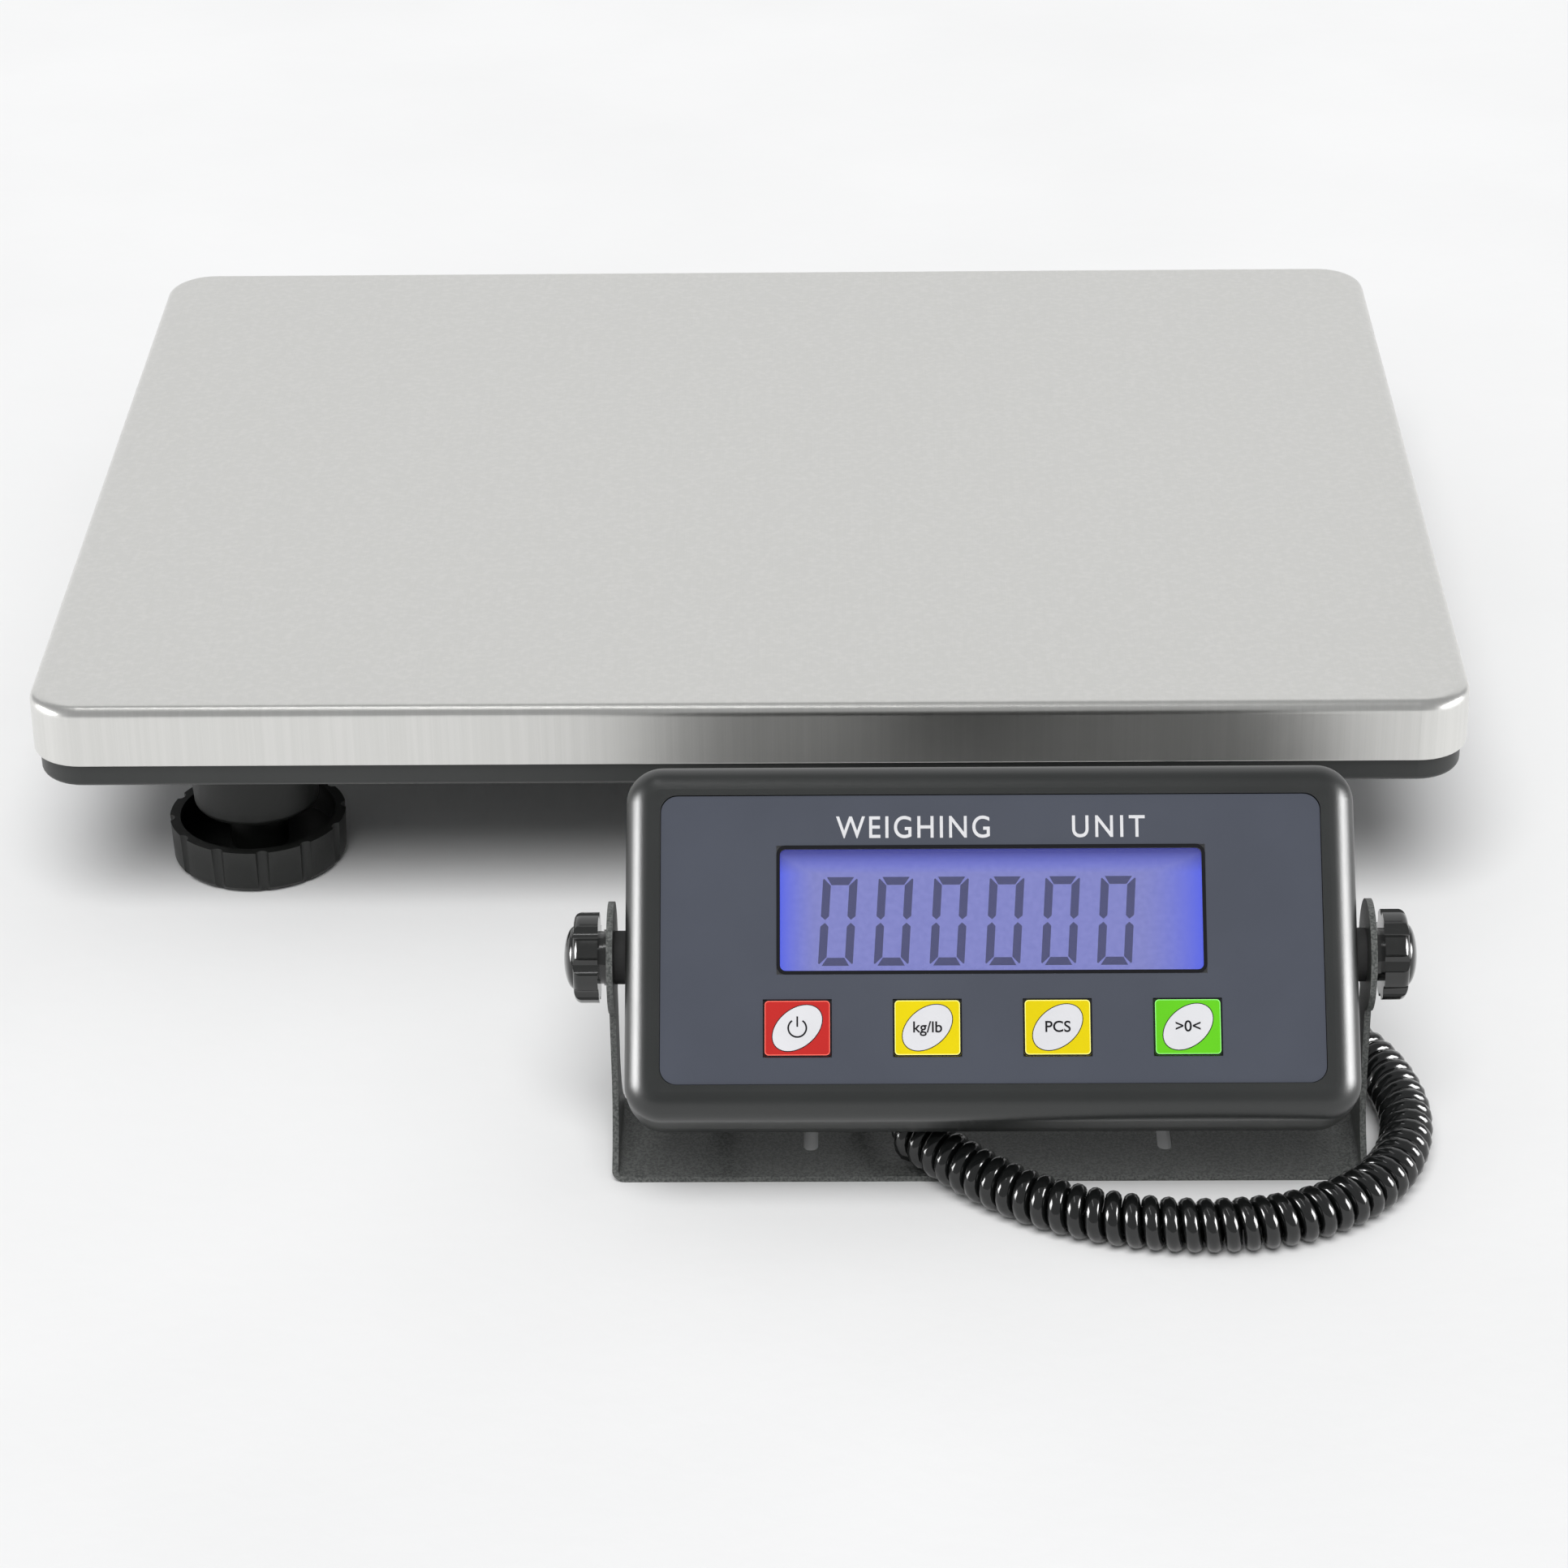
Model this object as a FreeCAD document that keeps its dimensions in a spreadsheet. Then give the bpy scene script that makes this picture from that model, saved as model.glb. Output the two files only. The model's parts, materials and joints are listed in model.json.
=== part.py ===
import FreeCAD, Part
import math
import os
import re

import Sketcher

# Platform shipping scale: a low platform on four levelling feet, and a tilting indicator in a U bracket,
# joined by a curly cord. Millimetres, +Z up. X runs to the right and Y away from the person who reads the
# indicator. The origin is on the surface that the scale stands on, under the middle of its footprint.

SIZES = [
    # platform
    ("platform_y", 69.63, "platform centre, behind the origin"),
    ("platter_width", 380, "15 inch platter"),
    ("platter_depth", 300, "12 inch platter"),
    ("platter_height", 69, "top of the platter above the floor"),
    ("platter_corner", 14, "corner radius in plan"),
    ("platter_edge", 3, "pressed radius round the top"),
    ("platter_sheet", 1.2, "stainless sheet thickness"),
    ("skirt_height", 17.1, "depth of the platter's turned-down skirt"),
    ("hem_radius", 0.5, "softened lower edge of the skirt"),
    ("tray_inset", 1.5, "tray wall behind the skirt's outside"),
    ("tray_band", 7, "tray showing below the skirt"),
    ("tray_sheet", 1.5, "painted steel sheet"),
    ("tray_edge", 2, "bend radius round the tray's floor"),
    ("tray_wall_top", 65.3, "top of the tray's wall above the floor"),
    ("beam_y", 55, "cross beam from the platform centre line"),
    ("beam_length", 200, "hat-section cross beam"),
    ("beam_width", 40, "hat-section cross beam"),
    ("beam_height", 18.4, "hat-section cross beam"),
    ("cushion_radius", 10, "rubber cushion under the platter"),
    ("cushion_x", 85, "rubber cushion from the centre line"),
    # load cells
    ("foot_x", 137, "foot and load cell from the centre line"),
    ("foot_y", 104, "foot and load cell from the centre line"),
    ("cell_side", 34, "square half-bridge load cell"),
    ("cell_plate", 3, "load cell thickness"),
    ("cell_rail", 2, "raised rails under the load cell"),
    ("cell_rail_width", 5, "raised rails under the load cell"),
    ("cell_slot", 1.6, "gap round the load cell's tongue"),
    ("cell_tongue", 18, "load cell tongue width"),
    ("cell_screw_offset", 14.5, "frame screws from the cell centre"),
    ("cell_screw_radius", 1.95, "frame and tongue screws"),
    ("cell_screw_head", 2.4, "screw head height"),
    ("screw_hole_radius", 2, "hole for the frame and tongue screws"),
    # levelling feet
    ("pad_radius", 19, "rubber pad under the foot"),
    ("pad_height", 2.4, "rubber pad under the foot"),
    ("pad_clearance", 0.1, "round the pad in the knob"),
    ("knob_bottom", 0.8, "lower edge of the levelling knob above the floor"),
    ("knob_height", 12.2, "fluted ring of the levelling knob"),
    ("knob_radius", 24.2, "fluted ring at its top"),
    ("knob_radius_low", 23.7, "fluted ring at its bottom"),
    ("knob_rounding", 1.4, "lower edge of the fluted ring"),
    ("knob_wall_radius", 21.4, "inside of the ring"),
    ("knob_floor", 2, "floor of the cup"),
    ("knob_flutes", 12, "flutes round the ring"),
    ("flute_radius", 1.9, "flute cut"),
    ("flute_depth", 1.3, "flute cut"),
    ("flute_start", 0.3, "first flute from the front, in flute spacings"),
    ("hub_radius", 8, "hub that holds the stud"),
    ("stud_radius", 5, "M10 levelling stud"),
    ("stud_clearance", 0.05, "stud in the boss, radial"),
    ("stud_top", 40.5, "top of the stud at rest"),
    ("stud_bottom", 6, "bottom of the stud in the hub"),
    ("boss_bottom", 17, "lower face of the foot boss above the floor"),
    ("boss_radius_low", 17, "foot boss at its lower face"),
    ("boss_radius_top", 18.8, "foot boss under the tray"),
    ("boss_rounding", 2, "lower edge of the foot boss"),
    ("boss_gap", 1, "free gap under the tray for the cell to bend"),
    ("boss_neck_radius", 7, "neck through the tray"),
    ("tray_hole_radius", 8, "hole in the tray round the neck"),
    # wiring in the platform
    ("board_length", 60, "junction board"),
    ("board_width", 30, "junction board"),
    ("board_sheet", 1.6, "circuit board thickness"),
    ("board_post", 3, "pressed posts under the junction board"),
    ("board_post_radius", 2.5, "pressed posts under the junction board"),
    ("wire_radius", 1, "load cell wire"),
    ("wire_exit", 8, "load cell wire from the cell's middle"),
    ("wire_lane", 108, "load cell wires from the centre line"),
    ("wire_level", 6.5, "load cell wires above the tray's floor"),
    ("wire_bend", 8, "bend radius of the load cell wires"),
    ("cable_drop", 1.6, "cable's axis below the wires"),
    ("cable_bend", 12, "bend radius of the cable in the platform"),
    ("cable_turn", 5, "bend radius of the cable into the gland"),
    ("cord_radius", 2.1, "curly cord's own cable"),
    ("cable_lane", 112, "cable and its gland from the centre line"),
    ("gland_setback", 10, "gland tip behind the platform's front edge"),
    ("gland_axis_height", 39.5, "platform gland axis above the floor"),
    ("gland_length", 16, "tapered sleeve of the gland"),
    ("gland_base_radius", 4.6, "tapered sleeve at the housing"),
    ("gland_tip_radius", 3.1, "tapered sleeve at the cord"),
    ("gland_block", 14, "gland block under the tray"),
    # indicator case, drawn upright about its pivot and then leaned back
    ("indicator_x", 60.55, "indicator centre"),
    ("pivot_y", -181.67, "tilt axis"),
    ("pivot_height", 53.9, "tilt axis above the floor"),
    ("lean", 41.7, "case leaned back from upright, degrees"),
    ("case_width", 175.4, "indicator case"),
    ("case_height", 86.4, "indicator case"),
    ("case_centre", 1.2, "case centre above the tilt axis"),
    ("front_depth", 17, "front shell, from the face to the joint"),
    ("rear_depth", 15.5, "rear shell, from the joint to the back"),
    ("rear_inset", 0.5, "rear shell inside the front shell's outline"),
    ("case_corner", 9, "case corner radius"),
    ("bezel_rounding", 6.5, "rolled front edge"),
    ("rear_rounding", 7, "rolled back edge"),
    ("shell_wall", 2.5, "moulded wall"),
    ("front_wall", 2.6, "front wall behind the face"),
    ("overlay_width", 158, "printed overlay"),
    ("overlay_height", 70, "printed overlay"),
    ("overlay_centre", 1.2, "overlay centre above the tilt axis"),
    ("overlay_corner", 4, "overlay corner radius"),
    ("overlay_film", 0.8, "overlay thickness"),
    ("overlay_sunk", 0.4, "overlay below the face"),
    ("overlay_gap", 0.15, "round the overlay"),
    ("window_width", 102.6, "display window"),
    ("window_height", 31.4, "display window"),
    ("window_centre", 8.3, "display window above the tilt axis"),
    ("window_lip", 0.8, "front wall behind the window's edge"),
    ("window_sheet", 0.9, "clear window"),
    ("display_width", 104, "liquid crystal cell"),
    ("display_height", 33, "liquid crystal cell"),
    ("display_sheet", 2, "liquid crystal cell"),
    ("backlight_sheet", 3, "backlight block"),
    ("key_pitch", 30.9, "key spacing"),
    ("key_width", 16.2, "key"),
    ("key_height", 13.8, "key"),
    ("key_corner", 1.2, "key corner radius"),
    ("key_centre", -20.4, "keys relative to the tilt axis"),
    ("key_sheet", 0.6, "key plate"),
    ("key_proud", 0.3, "embossed key above the overlay"),
    ("key_gap", 0.1, "round each key"),
    ("plunger_radius", 2, "stem behind the key"),
    ("plunger_hole", 2.6, "hole in the front wall for the stem"),
    ("switch_side", 6, "tact switch"),
    ("switch_height", 3.5, "tact switch"),
    ("key_to_switch", 0.5, "free space behind the stem"),
    ("main_board_width", 146, "main board"),
    ("main_board_height", 64, "main board"),
    ("main_board_front", -8, "main board's front face from the tilt axis"),
    # battery bay in the rear shell
    ("bay_width", 60, "battery bay"),
    ("bay_height", 52, "battery bay"),
    ("bay_centre", 7, "battery bay above the tilt axis"),
    ("bay_floor", -1, "battery bay's inner face"),
    ("bay_wall", 1.5, "battery bay's wall"),
    ("cell_radius", 7.1, "AA battery"),
    ("cell_length", 49.5, "AA battery"),
    ("cover_margin", 1.5, "battery cover beyond the bay"),
    ("cover_sheet", 1.6, "battery cover"),
    ("cover_gap", 0.15, "round the battery cover"),
    ("notch_radius", 8, "finger notch in the battery cover"),
    ("notch_depth", 0.8, "finger notch in the battery cover"),
    ("contact_sheet", 0.4, "battery contact plates"),
    # other parts of the case
    ("insert_radius", 4.5, "threaded insert in the case side"),
    ("insert_length", 10, "threaded insert in the case side"),
    ("insert_block", 8, "moulding round the insert, from the axis"),
    ("screw_radius", 1.5, "case screw"),
    ("screw_head_radius", 2.7, "case screw"),
    ("screw_x", 78, "case screws from the middle"),
    ("screw_low", -31, "lower case screws"),
    ("screw_high", 34, "upper case screws"),
    ("post_radius", 4, "screw post in the case"),
    ("jack_x", 46, "power socket"),
    ("jack_centre", -29, "power socket relative to the tilt axis"),
    ("jack_radius", 5, "power socket body"),
    ("jack_bore_radius", 2.8, "power socket mouth"),
    ("jack_bore_depth", 9, "power socket mouth"),
    ("jack_pin_radius", 1, "power socket centre pin"),
    ("cord_exit_x", -65.5, "cord gland from the case's middle"),
    ("cord_exit_centre", -28, "cord gland relative to the tilt axis"),
    ("cord_exit_length", 12, "cord gland outside the case"),
    # bracket and clamp knobs
    ("bracket_width", 184.4, "outside of the U bracket"),
    ("bracket_depth", 34.5, "U bracket base"),
    ("bracket_sheet", 1.5, "powder-coated steel"),
    ("bracket_bend", 3.3, "outside bend radius"),
    ("arm_tip_radius", 13.6, "round end of each arm"),
    ("arm_neck", 12, "narrowest part of each arm"),
    ("arm_foot_height", 26, "height at which the arm has narrowed"),
    ("arm_hole_radius", 3.3, "stud hole in each arm"),
    ("slot_spacing", 87.4, "fixing slots"),
    ("slot_width", 3.6, "fixing slots"),
    ("slot_length", 14, "fixing slots, along the depth"),
    ("slot_front", 5.7, "slot end in front of the tilt axis"),
    ("spacer_radius", 6.5, "rubber spacer between case and arm"),
    ("spacer_gap", 0.05, "running gap beside spacers and washers"),
    ("clamp_stud_radius", 3, "M6 clamp stud"),
    ("clamp_stud_clearance", 0.05, "stud in its insert, radial"),
    ("washer_radius", 6.8, "washer under the clamp knob"),
    ("washer_sheet", 1, "washer under the clamp knob"),
    ("star_collar_radius", 6.4, "collar of the clamp knob"),
    ("star_collar", 1.2, "collar of the clamp knob"),
    ("star_radius", 11, "lobes of the clamp knob"),
    ("star_thickness", 6, "lobed disc of the clamp knob"),
    ("star_lobes", 8, "lobes"),
    ("star_rounding", 1.8, "outer edge of the lobes"),
    ("star_cut_radius", 2.6, "hollow between two lobes"),
    ("star_cut_offset", 12.2, "hollow's centre from the axis"),
    ("dome_radius", 7.6, "domed cap at its foot"),
    ("dome_height", 2.6, "domed cap"),
    # curly cord
    ("coil_radius", 6.65, "outside of the curly cord"),
]

doc = FreeCAD.newDocument("PlatformScale")
sheet = doc.addObject("Spreadsheet::Sheet", "Sizes")
for row, (alias, value, note) in enumerate(SIZES, start=1):
    sheet.set(f"A{row}", alias)
    sheet.set(f"B{row}", str(value))
    sheet.setAlias(f"B{row}", alias)
    sheet.set(f"C{row}", note)
doc.recompute()

ALIASES = {alias for alias, value, note in SIZES}
WORDS = re.compile(r"[a-z]+(?:_[a-z]+)*")
TURNS = {
    "z": FreeCAD.Rotation(),
    "x": FreeCAD.Rotation(FreeCAD.Vector(0, 1, 0), 90),
    "-x": FreeCAD.Rotation(FreeCAD.Vector(0, 1, 0), -90),
    "y": FreeCAD.Rotation(FreeCAD.Vector(1, 0, 0), -90),
    "-y": FreeCAD.Rotation(FreeCAD.Vector(1, 0, 0), 90),
}
parts = []


# ---------------------------------------------------------------- helpers


def size(alias):
    """The value of one driving dimension."""
    return float(getattr(sheet, alias))


def bind(item, prop, text):
    """Binds a property to sheet cells: text is a formula in the sheet's aliases."""
    formula = WORDS.sub(lambda m: f"Sizes.{m.group()}" if m.group() in ALIASES else m.group(), str(text))
    item.setExpression(prop, formula)


def place(item, at, turn="z"):
    """Turns an object and binds its position."""
    item.Placement = FreeCAD.Placement(FreeCAD.Vector(), TURNS[turn])
    for axis, text in zip("xyz", at):
        bind(item, f"Placement.Base.{axis}", text)


def solid(kind, name, at, turn="z", **sizes):
    """A Part primitive with bound sizes and position."""
    item = doc.addObject(f"Part::{kind}", name)
    place(item, at, turn)
    for prop, text in sizes.items():
        bind(item, prop, text)
    return item


def box(name, corner, length, width, height):
    return solid("Box", name, corner, Length=length, Width=width, Height=height)


def rod(name, at, radius, height, turn="z"):
    return solid("Cylinder", name, at, turn, Radius=radius, Height=height)


def fuse(name, *items):
    item = doc.addObject("Part::MultiFuse", name)
    item.Shapes = list(items)
    return item


def cut(name, base, *tools):
    item = doc.addObject("Part::Cut", name)
    item.Base = base
    item.Tool = tools[0] if len(tools) == 1 else fuse(f"{name}_tools", *tools)
    return item


def group(name, *items):
    """Identical or related loose pieces kept as separate solids of one sub-part."""
    item = doc.addObject("Part::Compound", name)
    item.Links = list(items)
    return item


def sub_part(item, label):
    """Lists a finished object as a sub-part under its own name."""
    item.Label = label
    parts.append(item)
    return item


def on_platform(item, label):
    """A sub-part drawn about the platform's centre."""
    bind(item, "Placement.Base.y", "platform_y")
    return sub_part(item, label)


def in_case(item, label):
    """A sub-part drawn upright about the tilt axis, leaned back with the case."""
    item.Placement = FreeCAD.Placement(FreeCAD.Vector(), FreeCAD.Rotation(FreeCAD.Vector(1, 0, 0), -1))
    bind(item, "Placement.Rotation.Angle", "-lean")
    place_at_pivot(item)
    return sub_part(item, label)


def place_at_pivot(item):
    bind(item, "Placement.Base.x", "indicator_x")
    bind(item, "Placement.Base.y", "pivot_y")
    bind(item, "Placement.Base.z", "pivot_height")


def new_body(name):
    return doc.addObject("PartDesign::Body", name)


def feature(body, kind, name, at, turn="z", **sizes):
    """A PartDesign primitive added to or cut from a body."""
    item = body.newObject(f"PartDesign::{kind}", f"{body.Name}_{name}")
    place(item, at, turn)
    for prop, text in sizes.items():
        bind(item, prop, text)
    return item


def origin_plane(body, role):
    return next(item for item in body.Origin.OriginFeatures if item.Role == role)


def rectangle(body, name, role, corner, width, height, level="0", radius=None):
    """A sketched rectangle on an origin plane, with round corners if a radius is given.

    The level moves it along the plane's normal.
    """
    sketch = body.newObject("Sketcher::SketchObject", f"{body.Name}_{name}")
    sketch.AttachmentSupport = (origin_plane(body, role), [""])
    sketch.MapMode = "FlatFace"
    bind(sketch, "AttachmentOffset.Base.z", level)
    trim = 1 if radius else 0
    starts = [(trim - 5, -5), (5, trim - 5), (5 - trim, 5), (-5, 5 - trim)]
    ends = [(5 - trim, -5), (5, 5 - trim), (trim - 5, 5), (-5, trim - 5)]
    for start, end in zip(starts, ends):
        sketch.addGeometry(Part.LineSegment(FreeCAD.Vector(*start, 0), FreeCAD.Vector(*end, 0)), False)
    for index in range(4):
        sketch.addConstraint(Sketcher.Constraint("Vertical" if index % 2 else "Horizontal", index))
    if radius:
        for index, (x, y) in enumerate(((4, -4), (4, 4), (-4, 4), (-4, -4))):
            circle = Part.Circle(FreeCAD.Vector(x, y, 0), FreeCAD.Vector(0, 0, 1), 1)
            first = (index - 1) * math.pi / 2
            sketch.addGeometry(Part.ArcOfCircle(circle, first, first + math.pi / 2), False)
            sketch.addConstraint(Sketcher.Constraint("Tangent", index, 2, index + 4, 1))
            sketch.addConstraint(Sketcher.Constraint("Tangent", index + 4, 2, (index + 1) % 4, 1))
        for index in range(5, 8):
            sketch.addConstraint(Sketcher.Constraint("Equal", 4, index))
        number = sketch.addConstraint(Sketcher.Constraint("Radius", 4, 1))
        bind(sketch, f"Constraints[{number}]", radius)
    else:
        for index in range(4):
            sketch.addConstraint(Sketcher.Constraint("Coincident", index, 2, (index + 1) % 4, 1))
    measures = [
        ("DistanceX", -1, 1, 3, 1, -5, corner[0]),
        ("DistanceY", -1, 1, 0, 1, -5, corner[1]),
        ("DistanceX", 3, 1, 1, 1, 10, width),
        ("DistanceY", 0, 1, 2, 1, 10, height),
    ]
    for kind, first, first_end, second, second_end, start, text in measures:
        constraint = Sketcher.Constraint(kind, first, first_end, second, second_end, start)
        number = sketch.addConstraint(constraint)
        bind(sketch, f"Constraints[{number}]", text)
    return sketch


def pad(body, name, sketch, length, reverse=False):
    item = body.newObject("PartDesign::Pad", f"{body.Name}_{name}")
    item.Profile = sketch
    item.Reversed = reverse
    bind(item, "Length", length)
    return item


def pocket(body, name, sketch, length, reverse=False):
    """Cuts a sketch out of the body and checks that it took material away."""
    doc.recompute()
    before = body.Shape.Volume
    item = body.newObject("PartDesign::Pocket", f"{body.Name}_{name}")
    item.Profile = sketch
    item.Reversed = reverse
    bind(item, "Length", length)
    doc.recompute()
    if body.Shape.Volume >= before:
        raise RuntimeError(f"{item.Name} cuts nothing")
    return item


def round_edges(body, name, radius, wanted):
    """Fillets the edges of the body's last feature that wanted(edge) picks out."""
    doc.recompute()
    base = body.Tip
    edges = [f"Edge{n}" for n, edge in enumerate(base.Shape.Edges, start=1) if wanted(edge)]
    item = body.newObject("PartDesign::Fillet", f"{body.Name}_{name}")
    item.Base = (base, edges)
    bind(item, "Radius", radius)
    doc.recompute()
    return item


def upright(edge):
    return along(edge, 2)


def along(edge, axis):
    """True for a straight edge that runs along one axis."""
    spread = [edge.BoundBox.XLength, edge.BoundBox.YLength, edge.BoundBox.ZLength]
    return spread[axis] > 0.1 and sum(spread) - spread[axis] < 1e-6


def level_at(edge, axis, value):
    """True for an edge that lies in the plane where the coordinate on that axis has that value."""
    low = (edge.BoundBox.XMin, edge.BoundBox.YMin, edge.BoundBox.ZMin)[axis]
    high = (edge.BoundBox.XMax, edge.BoundBox.YMax, edge.BoundBox.ZMax)[axis]
    return abs(low - value) < 1e-4 and abs(high - value) < 1e-4


def round_at(edge, x):
    """True for a circle about the X direction at that X; a turned primitive's edges are exact to a micron."""
    return isinstance(edge.Curve, Part.Circle) and abs(edge.Curve.Center.x - x) < 1e-3


def corner_names():
    """The four corners of the platform: name, side along X, side along Y."""
    return [
        ("front_left", -1, -1),
        ("front_right", 1, -1),
        ("rear_left", -1, 1),
        ("rear_right", 1, 1),
    ]


# ---------------------------------------------------------------- platform


def make_platter():
    """Pressed stainless platter: a rounded tray turned upside down over the steel one."""
    body = new_body("platter")
    outline = rectangle(body, "outline", "XY_Plane", ("-platter_width / 2", "-platter_depth / 2"),
                        "platter_width", "platter_depth", "platter_height - skirt_height", "platter_corner")
    pad(body, "block", outline, "skirt_height")
    top, skirt_end = size("platter_height"), size("platter_height") - size("skirt_height")
    round_edges(body, "rim", "platter_edge", lambda edge: level_at(edge, 2, top))
    round_edges(body, "hem", "hem_radius", lambda edge: level_at(edge, 2, skirt_end))
    inside = rectangle(body, "inside", "XY_Plane",
                       ("platter_sheet - platter_width / 2", "platter_sheet - platter_depth / 2"),
                       "platter_width - 2 * platter_sheet", "platter_depth - 2 * platter_sheet",
                       "platter_height - platter_sheet", "platter_corner - platter_sheet")
    pocket(body, "hollow", inside, "skirt_height")
    inner_top = top - size("platter_sheet")
    round_edges(body, "inner_rim", "platter_edge - platter_sheet",
                lambda edge: level_at(edge, 2, inner_top))
    on_platform(body, "platter")


def make_base_tray():
    """Painted steel tray that carries the load cells; its floor is the platform's underside."""
    body = new_body("base_tray")
    floor = "platter_height - skirt_height - tray_band"
    outline = rectangle(body, "outline", "XY_Plane",
                        ("tray_inset - platter_width / 2", "tray_inset - platter_depth / 2"),
                        "platter_width - 2 * tray_inset", "platter_depth - 2 * tray_inset", floor,
                        "platter_corner - tray_inset")
    pad(body, "block", outline, f"tray_wall_top - ({floor})")
    low = size("platter_height") - size("skirt_height") - size("tray_band")
    round_edges(body, "bend", "tray_edge", lambda edge: level_at(edge, 2, low))
    inside = rectangle(body, "inside", "XY_Plane",
                       ("tray_inset + tray_sheet - platter_width / 2",
                        "tray_inset + tray_sheet - platter_depth / 2"),
                       "platter_width - 2 * (tray_inset + tray_sheet)",
                       "platter_depth - 2 * (tray_inset + tray_sheet)", "tray_wall_top",
                       "platter_corner - tray_inset - tray_sheet")
    pocket(body, "hollow", inside, f"tray_wall_top - ({floor}) - tray_sheet")
    for name, side_x, side_y in corner_names():
        feature(body, "SubtractiveCylinder", f"neck_{name}",
                (f"{side_x} * foot_x", f"{side_y} * foot_y", f"{floor} - 1"),
                Radius="tray_hole_radius", Height="tray_sheet + 2")
        for end in (-1, 1):
            at = (f"{side_x} * foot_x + {end} * cell_screw_offset", f"{side_y} * foot_y", f"{floor} - 1")
            feature(body, "SubtractiveCylinder", f"screw_{name}_{'in' if end < 0 else 'out'}", at,
                    Radius="screw_hole_radius", Height="tray_sheet + 2")
    for side_x in (-1, 1):
        for side_y in (-1, 1):
            at = (f"{side_x} * (board_length / 2 - 5)", f"{side_y} * (board_width / 2 - 5)",
                  f"{floor} + tray_sheet")
            feature(body, "AdditiveCylinder", f"post_{side_x + 1}_{side_y + 1}", at,
                    Radius="board_post_radius", Height="board_post")
    at = ("cable_lane", "gland_setback + gland_length + gland_block / 2 - platter_depth / 2",
          f"{floor} - 1")
    feature(body, "SubtractiveCylinder", "cable_hole", at, Radius="cord_radius + 0.6",
            Height="tray_sheet + 2")
    on_platform(body, "base_tray")


def make_base_beams():
    """Two hat-section beams welded across the tray, which carry the platter's cushions."""
    floor = "(platter_height - skirt_height - tray_band + tray_sheet)"
    beams = []
    for name, side in (("front", -1), ("rear", 1)):
        outer = box(f"beam_{name}_outer", ("-beam_length / 2", f"{side} * beam_y - beam_width / 2", floor),
                    "beam_length", "beam_width", "beam_height")
        inner = box(f"beam_{name}_inner",
                    ("-beam_length / 2 - 1", f"{side} * beam_y - beam_width / 2 + tray_sheet",
                     f"{floor} - 1"),
                    "beam_length + 2", "beam_width - 2 * tray_sheet", "beam_height - tray_sheet + 1")
        beams.append(cut(f"beam_{name}", outer, inner))
    on_platform(group("base_beams_group", *beams), "base_beams")


def make_cushions():
    """Rubber buttons between the beams and the platter."""
    beam_top = "platter_height - skirt_height - tray_band + tray_sheet + beam_height"
    buttons = []
    for name, side_x, side_y in corner_names():
        at = (f"{side_x} * cushion_x", f"{side_y} * beam_y", beam_top)
        buttons.append(rod(f"cushion_{name}", at, "cushion_radius",
                           f"platter_height - platter_sheet - ({beam_top})"))
    on_platform(group("platter_cushions_group", *buttons), "platter_cushions")


def make_load_cell(name, side_x, side_y):
    """Half-bridge cell: a square steel plate on two rails, with a slotted tongue that the foot pushes."""
    base = "(platter_height - skirt_height - tray_band + tray_sheet)"
    x, y = f"{side_x} * foot_x", f"{side_y} * foot_y"
    body = new_body(f"load_cell_{name}")
    feature(body, "AdditiveBox", "plate",
            (f"{x} - cell_side / 2", f"{y} - cell_side / 2", f"{base} + cell_rail"),
            Length="cell_side", Width="cell_side", Height="cell_plate")
    for end, corner in (("in", "-cell_side / 2"), ("out", "cell_side / 2 - cell_rail_width")):
        feature(body, "AdditiveBox", f"rail_{end}", (f"{x} + {corner}", f"{y} - cell_side / 2", base),
                Length="cell_rail_width", Width="cell_side", Height="cell_rail + 0.5")
    for end in (-1, 1):
        at = (f"{x} + {end} * cell_tongue / 2 - cell_slot / 2", f"{y} - cell_side / 2 + 6", f"{base} - 1")
        feature(body, "SubtractiveBox", f"slot_{end + 1}", at,
                Length="cell_slot", Width="cell_side - 12", Height="cell_plate + cell_rail + 2")
    at = (f"{x} - cell_tongue / 2", f"{y} - cell_side / 2 + 6", f"{base} - 1")
    feature(body, "SubtractiveBox", "slot_end", at,
            Length="cell_tongue", Width="cell_slot", Height="cell_plate + cell_rail + 2")
    for end, offset in (("middle", "0"), ("in", "-cell_screw_offset"), ("out", "cell_screw_offset")):
        feature(body, "SubtractiveCylinder", f"hole_{end}", (f"{x} + {offset}", y, f"{base} - 1"),
                Radius="screw_hole_radius", Height="cell_plate + cell_rail + 2")
    on_platform(body, f"load_cell_{name}")


def make_load_cell_screws():
    """Two screws hold each cell to the tray and one holds its tongue to the foot boss."""
    base = "(platter_height - skirt_height - tray_band + tray_sheet)"
    screws = []
    for name, side_x, side_y in corner_names():
        for end, offset, drop in (("middle", "0", "4"), ("in", "-cell_screw_offset", "tray_sheet"),
                                  ("out", "cell_screw_offset", "tray_sheet")):
            x, y = f"{side_x} * foot_x + {offset}", f"{side_y} * foot_y"
            top = f"{base} + cell_rail + cell_plate"
            shank = rod(f"shank_{name}_{end}", (x, y, f"{base} - {drop}"), "cell_screw_radius",
                        f"cell_rail + cell_plate + {drop}")
            head = rod(f"head_{name}_{end}", (x, y, top), "1.8 * cell_screw_radius", "cell_screw_head")
            screws.append(fuse(f"cell_screw_{name}_{end}", shank, head))
    on_platform(group("load_cell_screws_group", *screws), "load_cell_screws")


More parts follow.
